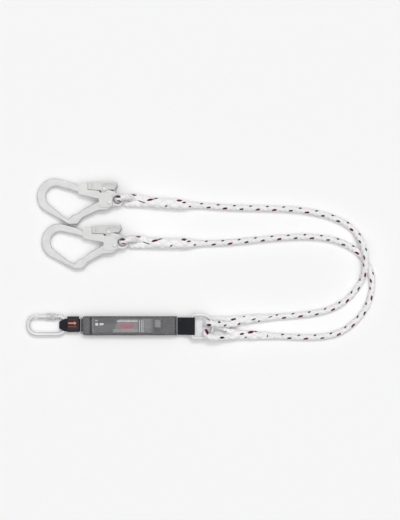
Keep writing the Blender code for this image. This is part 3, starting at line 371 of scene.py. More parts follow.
@dataclass(frozen=True)
class RopeFinish:
    """White three-strand rope with tracer yarns, drawn on the rope's own UV map.

    The map gives metres along the rope and turns round it in the strands' own frame. The
    attribute "crown" is 1 on the strands and 0 between them, "way" is -1 where the rope runs
    back, and streaks, where given, take the place of the regular tracer yarns.
    """

    name: str
    lay: float
    girth: float
    white: Colour = (0.96, 0.95, 0.955)
    # painted shade for the grooves between the strands
    shade: Colour = (0.66, 0.65, 0.66)
    black: Colour = (0.010, 0.008, 0.012)
    red: Colour = (0.30, 0.012, 0.05)
    streaks: tuple[Streak, ...] = ()

    def tracer(self, turns: Value, world_turn: Value, start: float, angle: float,
               size: tuple[float, float]) -> Value:
        """Distance from the middle of a tracer yarn, 1 at its edge.

        Args:
            turns: Lays along the rope.
            world_turn: Turns round the rope from its top.
            start: Where the tracer shows, in lays along the rope.
            angle: Where it shows, in turns from the top.
            size: Half of its length and of its width.

        Returns:
            The distance, in shares of the tracer's size.
        """
        along = ((turns - start + 0.5).fraction() - 0.5) * self.lay
        across = ((world_turn - angle + 0.5).fraction() - 0.5) * self.girth
        tilt = math.radians(18)
        long_way = (along * math.cos(tilt) + across * math.sin(tilt)) / size[0]
        short_way = (across * math.cos(tilt) - along * math.sin(tilt)) / size[1]
        return (long_way * long_way + short_way * short_way).maths("SQRT")

    def regular(self, turns: Value, world_turn: Value, ragged: Value) -> tuple[Value, Value]:
        """Masks of the black and the red of the tracers that come up once in every lay."""
        small = self.tracer(turns, world_turn, 0.053, 0.114, (4.3 * MM, 2.6 * MM)) + ragged
        large = self.tracer(turns, world_turn, 0.480, -0.083, (6.8 * MM, 3.4 * MM)) + ragged
        kind = (((turns - 0.48 + 0.5).floor() * 0.37).fraction()).step(0.2, 0.8)
        black = (1 - small.step(0.8, 1.1)).maths("MAXIMUM", 1 - (large + kind * 0.15).step(0.65, 0.95))
        return black, (1 - large.step(0.85, 1.1)) * kind

    def drawn(self, shading: Shading, ragged: Value) -> tuple[Value, Value]:
        """Masks of the black and the red of the streaks."""
        _, _, height = shading.parts(shading.place())
        masks = [height * 0, height * 0]
        for streak in self.streaks:
            upper_side = (height - streak.above).step(0, 1.5 * MM)
            turned = shading.turned_place((*streak.spot, 0), (0, 0, streak.heading),
                                          (streak.reach, streak.breadth, 1000))
            away = shading.node("ShaderNodeVectorMath", {"operation": "LENGTH"}, {0: turned},
                                "Value") + ragged
            if streak.red:
                _, lower, _ = shading.parts(turned)
                fringe = (1 - away.step(0.9, 1.15)) * upper_side
                masks[1] = masks[1].maths("MAXIMUM", fringe)
                away = away + (0.25 - lower * 0.35)
            masks[0] = masks[0].maths("MAXIMUM", (1 - away.step(0.75, 1.0)) * upper_side)
        return masks[0], masks[1]

    def material(self) -> bpy.types.Material:
        """The finished material."""
        shading = Shading(self.name)
        metres, round_it = shading.chart()
        way = shading.attribute("way")
        crown = shading.attribute("crown")
        turns = metres / self.lay
        world_turn = round_it - turns
        place = shading.place()
        yarn = abs((world_turn * 27 + turns * 0.9).wave())
        fibre = shading.noise(place, 1500, 3)
        cloud = shading.noise(place, 160, 2)
        # Painted shade: between the strands the white is mixed towards the darker colour shade
        groove = 1 - crown.step(0.0, 0.5)
        tint = shading.mix(groove * 0.4, self.white, self.shade)
        grey = (1 - yarn) * 0.2 + (cloud - 0.5) * 0.25
        tint = shading.mix(grey, tint, shaded(self.white, 0.88))
        ragged = (shading.noise(place, 420, 2) - 0.5) * 0.7
        if self.streaks:
            black, red = self.drawn(shading, ragged)
        else:
            black, red = self.regular(turns * way, world_turn * way, ragged)
        tint = shading.mix(red, tint, self.red)
        tint = shading.mix(black, tint, self.black)
        coarse = shading.bump(yarn * (1 - groove * 0.5), 0.24 * MM)
        normal = shading.bump(fibre, 0.1 * MM, 0.5, coarse)
        return shading.finish(Base_Color=tint, Roughness=0.78, Normal=normal, Sheen_Weight=0.15,
                              Sheen_Roughness=0.5, Specular_IOR_Level=0.25)


@dataclass(frozen=True)
class WebbingFinish:
    """Woven tape: warp ribs along it and weft picks across, on the tape's own UV map."""

    name: str
    colour: Colour
    rib: float = 1.15 * MM
    pick: float = 1.9 * MM
    depth: float = 0.3 * MM
    contrast: float = 0.45
    border: Optional[float] = None

    def material(self) -> bpy.types.Material:
        """The finished material."""
        shading = Shading(self.name)
        metres, across = shading.chart()
        place = shading.place()
        warp = across / self.rib
        row = warp.floor()
        bulge = abs((warp * 0.5).wave())
        chevron = (row * 0.25).fraction()
        pick = abs(((metres / self.pick + chevron) * 0.5).wave())
        weave = bulge.maths("MULTIPLY", pick * 0.7 + 0.3)
        fibre = shading.noise(place, 1800, 2)
        cloud = shading.noise(place, 120, 3)
        light = tuple(min(1.0, channel * (1 + self.contrast) + 0.004) for channel in self.colour)
        dark = shaded(self.colour, 1 - self.contrast)
        tint = shading.mix(weave * 0.75 + fibre * 0.25, dark, light)
        tint = shading.mix((cloud - 0.35) * 0.3, tint, light)
        if self.border is not None:
            edge = abs(across).step(self.border - 1.2 * MM, self.border)
            tint = shading.mix(edge * 0.6, tint, dark)
        coarse = shading.bump(weave, self.depth)
        normal = shading.bump(fibre, 0.08 * MM, 0.5, coarse)
        return shading.finish(Base_Color=tint, Roughness=0.82, Normal=normal, Sheen_Weight=0.1,
                              Specular_IOR_Level=0.3)


@dataclass(frozen=True)
class ThreadFinish:
    """Twisted sewing thread."""

    name: str
    colour: Colour

    def material(self) -> bpy.types.Material:
        """The finished material."""
        shading = Shading(self.name)
        place = shading.turned_place((0, 0, 0), (0, 0, 0.6))
        x, _, _ = shading.parts(place)
        twist = abs((x / (0.55 * MM)).wave())
        fibre = shading.noise(place, 2500, 2)
        tint = shading.mix(twist * 0.7 + fibre * 0.3, shaded(self.colour, 0.55), self.colour)
        return shading.finish(Base_Color=tint, Roughness=0.6, Normal=shading.bump(twist, 0.15 * MM))


@dataclass(frozen=True)
class TagFinish:
    """Coated black cloth with one plain arrow and plain bars printed on its upper face."""

    name: str
    arrow_left: float
    arrow_right: float
    arrow_y: float
    top: float
    cloth: Colour = (0.010, 0.010, 0.011)
    print_colour: Colour = (0.87, 0.26, 0.18)

    def material(self) -> bpy.types.Material:
        """The finished material."""
        shading = Shading(self.name)
        place = shading.place()
        x, y, z = shading.parts(place)
        upper_face = (z - self.top + 0.5 * MM).step(0, 0.3 * MM)
        printed = shading.noise(place, 700, 3).step(0.28, 0.5) * upper_face
        aside = abs(y - self.arrow_y)
        neck = self.arrow_right - 6.5 * MM
        shaft = x.within((self.arrow_left + neck) / 2, (neck - self.arrow_left) / 2, 0.3 * MM)
        shaft = shaft * aside.within(0, 1.7 * MM, 0.3 * MM)
        slope = (self.arrow_right - x) * 0.7
        head = 1 - (aside - slope).step(0, 0.4 * MM)
        head = head * (x - neck).step(0, 0.3 * MM)
        thread = abs((x / (0.5 * MM)).wave()) * abs((y / (0.5 * MM)).wave())
        cloud = shading.noise(place, 90, 3)
        tint = shading.mix(thread * 0.35 + cloud * 0.35, self.cloth, shaded(self.cloth, 1.9))
        tint = shading.mix(shaft.maths("MAXIMUM", head) * printed, tint, self.print_colour)
        centre = (self.arrow_left + self.arrow_right) / 2
        middle = x.within(centre, self.arrow_right - centre, 0.5 * MM)
        dashes = (x / (1.9 * MM)).fraction().step(0.2, 0.4) * printed * middle
        for away, strength in ((8.5, 0.16), (-8, 0.4), (-11.5, 0.16)):
            row = (y - self.arrow_y - away * MM).within(0, 0.7 * MM, 0.3 * MM) * dashes
            tint = shading.mix(row * strength, tint, self.print_colour)
        return shading.finish(Base_Color=tint, Roughness=0.6 + cloud * 0.15,
                              Normal=shading.bump(thread, 0.08 * MM))


@dataclass(frozen=True)
class LabelFinish:
    """Grey printed film with plain bars and fields and no lettering, and a soft pale field of painted
    highlight from the cover film above it.
    """

    name: str
    left: float
    right: float
    grey: Colour = (0.14, 0.14, 0.145)
    pale: Colour = (0.40, 0.38, 0.39)
    white: Colour = (0.85, 0.84, 0.85)
    red: Colour = (0.50, 0.10, 0.15)
    ink: Colour = (0.045, 0.045, 0.05)

    def material(self) -> bpy.types.Material:
        """The finished material."""
        shading = Shading(self.name)
        place = shading.place()
        x, y, _ = shading.parts(place)
        length = self.right - self.left

        def panel(start: float, end: float, low: float, high: float, soft: float = 0.4) -> Value:
            """Mask of a rectangle in shares of the label's length and millimetres across it."""
            centre = self.left + length * (start + end) / 2
            wide = x.within(centre, length * (end - start) / 2, soft * MM)
            return wide * y.within((low + high) / 2 * MM, (high - low) / 2 * MM, soft * MM)

        cloud = shading.noise(place, 60, 4)
        tint = shading.mix(cloud.step(0.3, 0.75) * 0.4, self.grey, self.ink)
        slant = (x - y * 0.46).step(-36 * MM, -34 * MM) * (1 - x.step(18.5 * MM, 19 * MM))
        tint = shading.mix(slant * 0.38, tint, self.pale)
        tint = shading.mix(panel(0.08, 0.3, 7, 18, 5) * 0.55, tint, self.ink)
        dashes = (x / (3.1 * MM)).fraction().step(0.25, 0.35)
        tint = shading.mix(panel(0.35, 0.64, 10.3, 13.3) * dashes, tint, self.white)
        tint = shading.mix(panel(0.4, 0.572, -5.8, 2.8, 0.9), tint, self.red)
        for level in (-9.5, -13):
            tint = shading.mix(panel(0.29, 0.64, level - 0.6, level + 0.6) * 0.3, tint, self.white)
        for start in (0.662, 0.69, 0.712):
            tint = shading.mix(panel(start, start + 0.008, -16, 15) * 0.7, tint, self.white)
        tint = shading.mix(panel(0.002, 0.012, -18, 18, 0.8) * 0.6, tint, self.pale)
        tint = shading.mix(panel(0.04, 0.08, 12.5, 14) * 0.6, tint, self.white)
        tint = shading.mix(panel(0.044, 0.079, 1.0, 6.8), tint, self.white)
        tint = shading.mix(panel(0.104, 0.158, 2.0, 6.4), tint, self.white)
        # Painted highlight: a soft pale field where the clear cover film above catches the light
        tint = shading.mix(panel(0.7, 0.85, -16, 16, 4) * 0.3, tint, self.pale)
        tint = shading.mix(panel(0.85, 0.985, -13, 12, 5) * (1 - cloud.step(0.4, 0.6) * 0.5), tint,
                           self.ink)
        tint = shading.mix(panel(0.895, 0.955, -2, 13, 3) * 0.6, tint, self.pale)
        return shading.finish(Base_Color=tint, Roughness=0.35 + cloud * 0.2)


@dataclass(frozen=True)
class FilmFinish:
    """Clear shrink film with faint creases, denser where it turns down, in a band near its left end
    and at its ends, with painted shade on the turned-down sides and in that band.
    """

    name: str
    left: float
    right: float
    half_width: float
    shade_band: float
    tint: Colour = (0.34, 0.34, 0.36)
    # colour of the painted shade on the turned-down sides and in the band near the left end
    edge: Colour = (0.03, 0.03, 0.035)
    rim: Colour = (0.75, 0.75, 0.76)
    cover: float = 0.10

    def material(self) -> bpy.types.Material:
        """The finished material."""
        shading = Shading(self.name)
        place = shading.turned_place((0, 0, 0), (0, 0, 0), (1.0, 0.28, 0.28))
        x, y, _ = shading.parts(shading.place())
        crease = shading.noise(place, 110, 3)
        fine = shading.noise(place, 420, 2)
        folds = crease.step(0.35, 0.75) * 0.7 + fine * 0.3
        turned = abs(y).step(self.half_width - 3 * MM, self.half_width - 1.2 * MM)
        end = (1 - (x - self.left).step(0.8 * MM, 2 * MM)).maths(
            "MAXIMUM", 1 - (self.right - x).step(0.8 * MM, 2 * MM))
        shade_band = x.within(self.shade_band, 1.6 * MM, 2.5 * MM)
        # Painted shade: the turned-down sides and the band near the left end are mixed towards the
        # dark colour edge
        dark = turned.maths("MAXIMUM", shade_band)
        tint = shading.mix(end, shading.mix(dark, self.tint, self.edge), self.rim)
        alpha = folds * 0.12 + (self.cover - 0.06) + turned * 0.5 + end * 0.35 + shade_band * 0.4
        shading.owner.surface_render_method = "BLENDED"
        return shading.finish(Base_Color=tint, Roughness=0.16 + fine * 0.12, Alpha=alpha,
                              Normal=shading.bump(folds, 0.7 * MM, 0.5), Coat_Weight=0.3)


@dataclass(frozen=True)
class FloorFinish:
    """Matt pale table top."""

    name: str = "pale_table"
    colour: Colour = (0.915, 0.915, 0.92)

    def material(self) -> bpy.types.Material:
        """The finished material."""
        return Shading(self.name).finish(Base_Color=self.colour, Roughness=1.0,
                                         Specular_IOR_Level=0.0)


# Lines and outlines


def ease(share: float) -> float:
    """Smooth step from 0 to 1."""
    share = min(1.0, max(0.0, share))
    return share * share * (3 - 2 * share)


def arc(centre: Sequence[float], radius: float, start: float, end: float, steps: int) -> list[Flat]:
    """Points on an arc.

    Args:
        centre: Its centre.
        radius: Its radius.
        start: First angle in degrees.
        end: Last angle in degrees.
        steps: Number of straight steps.

    Returns:
        The points, both ends among them.
    """
    points = []
    for step in range(steps + 1):
        angle = math.radians(start + (end - start) * step / steps)
        points.append((centre[0] + radius * math.cos(angle), centre[1] + radius * math.sin(angle)))
    return points


def run(start: Flat, end: Flat, steps: int) -> list[Flat]:
    """Points evenly from a start towards an end, the end left out."""
    return [(start[0] + (end[0] - start[0]) * step / steps,
             start[1] + (end[1] - start[1]) * step / steps) for step in range(steps)]


def straight(start: Sequence[float], end: Sequence[float], steps: int) -> list[Vector]:
    """Points evenly from a start to an end, both among them."""
    return [Vector(start).lerp(Vector(end), step / steps) for step in range(steps + 1)]


def quarter_turn(steps: int) -> list[float]:
    """Angles from zero to a quarter turn."""
    return [math.pi / 2 * step / steps for step in range(steps + 1)]


def rounded(corners: Sequence[Flat], arc_step: float = 9.0) -> list[Flat]:
    """Round the corners of a closed outline.

    Args:
        corners: Points (x, y, radius), or (x, y) where a corner stays sharp.
        arc_step: Degrees of turn in one straight step.

    Returns:
        The rounded outline.
    """
    outline = []
    count = len(corners)
    for index, corner in enumerate(corners):
        here = Vector(corner[:2])
        if len(corner) == 2:
            outline.append(tuple(here))
            continue
        back = Vector(corners[index - 1][:2]) - here
        ahead = Vector(corners[(index + 1) % count][:2]) - here
        turn = math.pi - back.angle(ahead)
        reach = min(corner[2] * math.tan(turn / 2), 0.48 * back.length, 0.48 * ahead.length)
        radius = reach / math.tan(turn / 2)
        start = here + back.normalized() * reach
        middle = (back.normalized() + ahead.normalized()).normalized()
        centre = here + middle * math.hypot(radius, reach)
        steps = max(1, round(math.degrees(turn) / arc_step))
        first = math.degrees(math.atan2(start.y - centre.y, start.x - centre.x))
        sign = 1.0 if back.x * ahead.y - back.y * ahead.x < 0 else -1.0
        outline += arc(centre, radius, first, first + sign * math.degrees(turn), steps)
    return outline


def scaled(points: Sequence[Flat]) -> list[Flat]:
    """Points written in millimetres, as metres."""
    return [tuple(value * MM for value in point) for point in points]


def smooth_curve(points: Sequence[Vector], per_span: int = 12) -> list[Vector]:
    """Lay a dense smooth line through points.

    Args:
        points: Points that the line passes.
        per_span: Steps between two of them.

    Returns:
        The line, by centripetal Catmull-Rom spans.
    """
    knots = [Vector(point) for point in points]
    knots = [2 * knots[0] - knots[1]] + knots + [2 * knots[-1] - knots[-2]]
    line = []
    for index in range(1, len(knots) - 2):
        p0, p1, p2, p3 = knots[index - 1:index + 3]
        t1 = (p1 - p0).length ** 0.5
        t2 = t1 + (p2 - p1).length ** 0.5
        t3 = t2 + (p3 - p2).length ** 0.5
        for step in range(per_span):
            t = t1 + (t2 - t1) * step / per_span
            a1 = p0 * ((t1 - t) / t1) + p1 * (t / t1)
            a2 = p1 * ((t2 - t) / (t2 - t1)) + p2 * ((t - t1) / (t2 - t1))
            a3 = p2 * ((t3 - t) / (t3 - t2)) + p3 * ((t - t2) / (t3 - t2))
            b1 = a1 * ((t2 - t) / t2) + a2 * (t / t2)
            b2 = a2 * ((t3 - t) / (t3 - t1)) + a3 * ((t - t1) / (t3 - t1))
            line.append(b1 * ((t2 - t) / (t2 - t1)) + b2 * ((t - t1) / (t2 - t1)))
    line.append(knots[-2].copy())
    return line


def line_length(line: Sequence[Vector]) -> float:
    """Length of a line of points."""
    return sum((ahead - here).length for here, ahead in zip(line, line[1:]))


def stretch(line: Sequence[Vector], start: float, end: float, spacing: float) -> list[Vector]:
    """Space points evenly along a line.

    Args:
        line: The line.
        start: Distance of the first point along it.
        end: Distance of the last point.
        spacing: Distance wanted between neighbours.

    Returns:
        The points.
    """
    reach = [0.0]
    for here, ahead in zip(line, line[1:]):
        reach.append(reach[-1] + (ahead - here).length)
    count = max(2, round((end - start) / spacing))
    points = []
    index = 0
    for step in range(count + 1):
        distance = start + (end - start) * step / count
        while index < len(reach) - 2 and reach[index + 1] < distance:
            index += 1
        share = (distance - reach[index]) / (reach[index + 1] - reach[index])
        points.append(line[index].lerp(line[index + 1], share))
    return points


class Route:
    """A centre line with a frame carried along it without twist."""

    def __init__(self, spots: Sequence[Vector], closed: bool = False) -> None:
        """Set the frames.

        Args:
            spots: Points of the line, the first one not repeated.
            closed: Whether the line runs back to its first point.
        """
        self.closed = closed
        self.spots = [Vector(spot) for spot in spots]
        if closed:
            self.spots.append(self.spots[0].copy())
        self.reach = [0.0]
        for here, ahead in zip(self.spots, self.spots[1:]):
            self.reach.append(self.reach[-1] + (ahead - here).length)
        last = len(self.spots) - 1
        self.lefts: list[Vector] = []
        self.ups: list[Vector] = []
        left = None
        for index, spot in enumerate(self.spots):
            before = self.spots[index - 1] if index else (self.spots[-2] if closed else spot)
            after = self.spots[index + 1] if index < last else (self.spots[1] if closed else spot)
            forward = (after - before).normalized()
            if left is None:
                left = UP.cross(forward) if abs(forward.z) < 0.9 else Vector((0, 1, 0))
            left = (left - forward * left.dot(forward)).normalized()
            self.lefts.append(left.copy())
            self.ups.append(forward.cross(left))

    def nearest(self, reach: float) -> int:
        """Number of the point nearest to a distance along the route."""
        return min(range(len(self.reach)), key=lambda index: abs(self.reach[index] - reach))


# Meshes


class Operation(Enum):
    """What a tool body does to a piece."""

    CUT = "DIFFERENCE"
    JOIN = "UNION"


class Chart(Enum):
    """What the second number of a swept piece's UV map counts."""

    ROUND = "round"
    ACROSS = "across"
    LAID = "round, in the frame of laid strands"


def sweep(route: Route, around: int, section: Section, chart: Chart = Chart.ROUND,
          lay: float = 0.0, start: float = 0.0) -> bmesh.types.BMesh:
    """Wrap a grid round a route.

    Args:
        route: Centre line.
        around: Faces round the section.
        section: Gives (left, up) from the distance along the route and the share round it; a
            third number goes into the attribute "crown".
        chart: What the UV map's second number counts; the first is metres along the route.
        lay: Length in which laid strands go round once; 0 where there are none.
        start: Distance that the route's first point counts as.

    Returns:
        The wrapped mesh, its ends closed.
    """
    work = bmesh.new()
    rings = len(route.spots) - 1
    bmesh.ops.create_grid(work, x_segments=rings, y_segments=around, size=0.5)
    layer = work.loops.layers.uv.new("along")
    crown = work.verts.layers.float.new("crown")
    way = work.verts.layers.float.new("way")
    spots = {}
    for vert in work.verts:
        ring = round((vert.co.x + 0.5) * rings)
        step = round((vert.co.y + 0.5) * around)
        reach = start + route.reach[ring]
        share = step / around
        left, up, *rest = section(reach, share)
        if chart is Chart.ACROSS:
            second = left
        else:
            second = share + (reach / lay if chart is Chart.LAID else 0.0)
        spots[vert] = (reach, second)
        vert.co = route.spots[ring] + route.lefts[ring] * left + route.ups[ring] * up
        vert[crown] = rest[0] if rest else 1.0
        vert[way] = 1.0 if route.lefts[ring].y > 0 else -1.0
    for face in work.faces:
        for loop in face.loops:
            loop[layer].uv = spots[loop.vert]
    bmesh.ops.remove_doubles(work, verts=work.verts, dist=WELD)
    if not route.closed:
        bmesh.ops.holes_fill(work, edges=[edge for edge in work.edges if edge.is_boundary])
    return work


def sweep_open(route: Route, around: int, section: Section) -> bmesh.types.BMesh:
    """Wrap a grid round a route and leave its two ends open."""
    work = sweep(route, around, section)
    caps = [face for face in work.faces if len(face.verts) > 4]
    bmesh.ops.delete(work, geom=caps, context="FACES_ONLY")
    return work


def disc(radius_left: float, radius_up: Optional[float] = None) -> Section:
    """Section of a round or oval bar."""
    tall = radius_left if radius_up is None else radius_up

    def place(_reach: float, share: float) -> tuple[float, float]:
        """Point of the section."""
        angle = 2 * math.pi * share
        return radius_left * math.sin(angle), tall * math.cos(angle)

    return place


def band(width: Callable[[float], float], thickness: float, edge: int = 4,
         across: int = 14) -> tuple[int, Section]:
    """Section of a woven tape with round edges.

    Args:
        width: Its width, from the distance along it.
        thickness: Its thickness.
        edge: Steps round each edge.
        across: Steps across each face.

    Returns:
        Faces round the section, and the section.
    """
    half = thickness / 2
    spots = [(1 - 2 * step / across, 1.0, 0.0) for step in range(across)]
    spots += [(-1.0, math.cos(math.pi * step / edge), -math.sin(math.pi * step / edge))
              for step in range(edge)]
    spots += [(2 * step / across - 1, -1.0, 0.0) for step in range(across)]
    spots += [(1.0, -math.cos(math.pi * step / edge), math.sin(math.pi * step / edge))
              for step in range(edge)]

    def place(reach: float, share: float) -> tuple[float, float]:
        """Point of the section."""
        wide = width(reach) / 2 - half
        side, up, out = spots[round(share * len(spots)) % len(spots)]
        return side * wide + out * half, up * half

    return len(spots), place


def slab(outline: Sequence[Flat], low: float, high: float,
         rounding: Sequence[tuple[float, float]] = ()) -> bmesh.types.BMesh:
    """Raise a flat outline to a plate with rounded edges.

    Args:
        outline: Closed outline in XY.
        low: Height of its underside.
        high: Height of its top.
        rounding: Steps (inset, rise) from the wall to each face.

    Returns:
        The plate; its attribute "side" is 1 on the wall and falls to 0 on the faces.
    """
    drop = sum(rise for _, rise in rounding)
    work = bmesh.new()
    layer = work.verts.layers.float.new("side")
    bottom = work.faces.new([work.verts.new((x, y, low + drop)) for x, y in outline])
    raised = bmesh.ops.extrude_face_region(work, geom=[bottom])
    moved = [item for item in raised["geom"] if isinstance(item, bmesh.types.BMVert)]
    bmesh.ops.translate(work, verts=moved, vec=(0, 0, high - low - 2 * drop))
    bmesh.ops.recalc_face_normals(work, faces=work.faces)
    for vert in work.verts:
        vert[layer] = 1.0
    for sign in (-1, 1):
        for index, (inset, rise) in enumerate(rounding):
            end = max(work.faces, key=lambda face: sign * face.calc_center_median().z)
            bmesh.ops.inset_region(work, faces=[end], thickness=inset, depth=rise,
                                   use_even_offset=True)
            for vert in end.verts:
                vert[layer] = 1 - (index + 1) / len(rounding)
        if rounding:
            bmesh.ops.inset_region(work, faces=[end], thickness=0.12 * MM, use_even_offset=True)
            for vert in end.verts:
                vert[layer] = 0.0
    return work


def spun(profile: Sequence[Flat], steps: int) -> bmesh.types.BMesh:
    """Spin a profile round Z.

    Args:
        profile: Points (radius, height) from top to bottom; a closed one ends where it starts.
        steps: Steps of the full turn.

    Returns:
        The turned mesh.
    """
    work = bmesh.new()
    closed = profile[0] == profile[-1]
    spots = profile[:-1] if closed else profile
    verts = [work.verts.new((radius, 0, height)) for radius, height in spots]
    edges = [work.edges.new(pair) for pair in zip(verts, verts[1:])]
    if closed:
        edges.append(work.edges.new((verts[-1], verts[0])))
    bmesh.ops.spin(work, geom=verts + edges, cent=(0, 0, 0), axis=(0, 0, 1), steps=steps,
                   angle=2 * math.pi, use_merge=True)
    bmesh.ops.remove_doubles(work, verts=work.verts, dist=WELD)
    return work


def block(low: Sequence[float], high: Sequence[float]) -> bmesh.types.BMesh:
    """Box between two corners."""
    work = bmesh.new()
    bmesh.ops.create_cube(work, size=1)
    size = Vector(high) - Vector(low)
    middle = (Vector(high) + Vector(low)) / 2
    bmesh.ops.transform(work, matrix=Matrix.Translation(middle) @ Matrix.Diagonal((*size, 1)),
                        verts=work.verts)
    return work


def placed(name: str, work: bmesh.types.BMesh, finish: bpy.types.Material,
           matrix: Optional[Matrix] = None, sharp: float = 38.0) -> bpy.types.Object:
    """Turn a bmesh into an object at the origin with its place in its mesh.

    Args:
        name: Name of the piece.
        work: Its mesh, freed here.
        finish: Its material.
        matrix: Where it goes in the frame.
        sharp: Edges over this angle in degrees stay sharp.

    Returns:
        The object.
    """
    bmesh.ops.recalc_face_normals(work, faces=work.faces)
    if matrix is not None:
        bmesh.ops.transform(work, matrix=matrix, verts=work.verts)
    mesh = bpy.data.meshes.new(name)
    work.to_mesh(mesh)
    work.free()
    mesh.materials.append(finish)
    mesh.shade_smooth()
    mesh.set_sharp_from_angle(angle=math.radians(sharp))
    made = bpy.data.objects.new(name, mesh)
    bpy.context.scene.collection.objects.link(made)
    return made


def walled(piece: bpy.types.Object, thickness: float, offset: float = -1) -> bpy.types.Object:
    """Give an open skin a wall of some thickness."""
    wall = piece.modifiers.new("wall", "SOLIDIFY")
    wall.thickness = thickness
    wall.offset = offset
    return piece


def merged(works: Sequence[bmesh.types.BMesh]) -> bmesh.types.BMesh:
    """Gather several bmeshes into one."""
    gathered = bmesh.new()
    for work in works:
        bmesh.ops.recalc_face_normals(work, faces=work.faces)
        holder = bpy.data.meshes.new("gathered")
        work.to_mesh(holder)
        work.free()
        gathered.from_mesh(holder)
        bpy.data.meshes.remove(holder)
    return gathered


def worked(piece: bpy.types.Object, tools: Sequence[tuple[Operation, bmesh.types.BMesh]],
           sharp: float = 38.0) -> bpy.types.Object:
    """Cut and join a piece with tool bodies and keep the result as its mesh.

    Args:
        piece: The piece.
        tools: What each tool body does, in order.
        sharp: Edges over this angle in degrees stay sharp.

    Returns:
        The piece.
    """
    bodies = []
    for operation, work in tools:
        body = placed("tool", work, piece.data.materials[0])
        change = piece.modifiers.new("tool", "BOOLEAN")
        change.operation = operation.value
        change.solver = "EXACT"
        change.object = body
        bodies.append(body)
    graph = bpy.context.evaluated_depsgraph_get()
    mesh = bpy.data.meshes.new_from_object(piece.evaluated_get(graph))
    piece.modifiers.clear()
    piece.data = mesh
    mesh.shade_smooth()
    mesh.set_sharp_from_angle(angle=math.radians(sharp))
    for body in bodies:
        bpy.data.objects.remove(body, do_unlink=True)
    return piece


def quarter(radius: float, rise: float, steps: int) -> list[tuple[float, float]]:
    """Steps (inset, rise) of a rounded edge.

    Args:
        radius: Its whole inset.
        rise: Its whole height.
        steps: Number of steps.

    Returns:
        The steps from the wall to the face.
    """
    turns = quarter_turn(steps)
    return [(radius * (math.cos(a) - math.cos(b)), rise * (math.sin(b) - math.sin(a)))
            for a, b in zip(turns, turns[1:])]


def rod_along_x(profile: Sequence[Flat], steps: int, place: Sequence[float]) -> bmesh.types.BMesh:
    """Spin a profile (radius, position) round an axis along X through a place."""
    work = spun(profile, steps)
    turn = Matrix.Translation(Vector(place)) @ Matrix.Rotation(math.pi / 2, 4, "Y")
    bmesh.ops.transform(work, matrix=turn, verts=work.verts)
    return work


def upright(profile: Sequence[Flat], steps: int, place: Sequence[float]) -> bmesh.types.BMesh:
    """Spin a profile (radius, height) round an upright axis through a place."""
    work = spun(profile, steps)
    bmesh.ops.translate(work, verts=work.verts, vec=Vector(place))
    return work


def barrel(radius: float, low: float, high: float, edge: float = 0.0) -> list[Flat]:
    """Profile of a cylinder with rounded rims, from top to bottom."""
    if not edge:
        return [(0, high), (radius, high), (radius, low), (0, low)]
    top = [(radius - edge + x, high - edge + y) for x, y in arc((0, 0), edge, 90, 0, 4)]
    bottom = [(radius - edge + x, low + edge + y) for x, y in arc((0, 0), edge, 0, -90, 4)]
    return [(0, high)] + top + bottom + [(0, low)]


def mirrored(profile: Sequence[Flat]) -> list[Flat]:
    """A profile turned over to the other side of zero height."""
    return [(radius, -height) for radius, height in reversed(profile)]


def rivet_profile(head: float, face: float, dome: float, shank: float, steps: int) -> list[Flat]:
    """Profile of a rivet with two domed heads.

    Args:
        head: Radius of the heads.
        face: Height of the face that the upper head sits on.
        dome: Rise of the heads.
        shank: Radius between them.
        steps: Steps of each dome.

    Returns:
        The profile from top to bottom.
    """
    upper = [(head * math.sin(a), face + dome * math.cos(a)) for a in quarter_turn(steps)]
    upper.append((shank, face))
    return upper + mirrored(upper)


# Karabiner


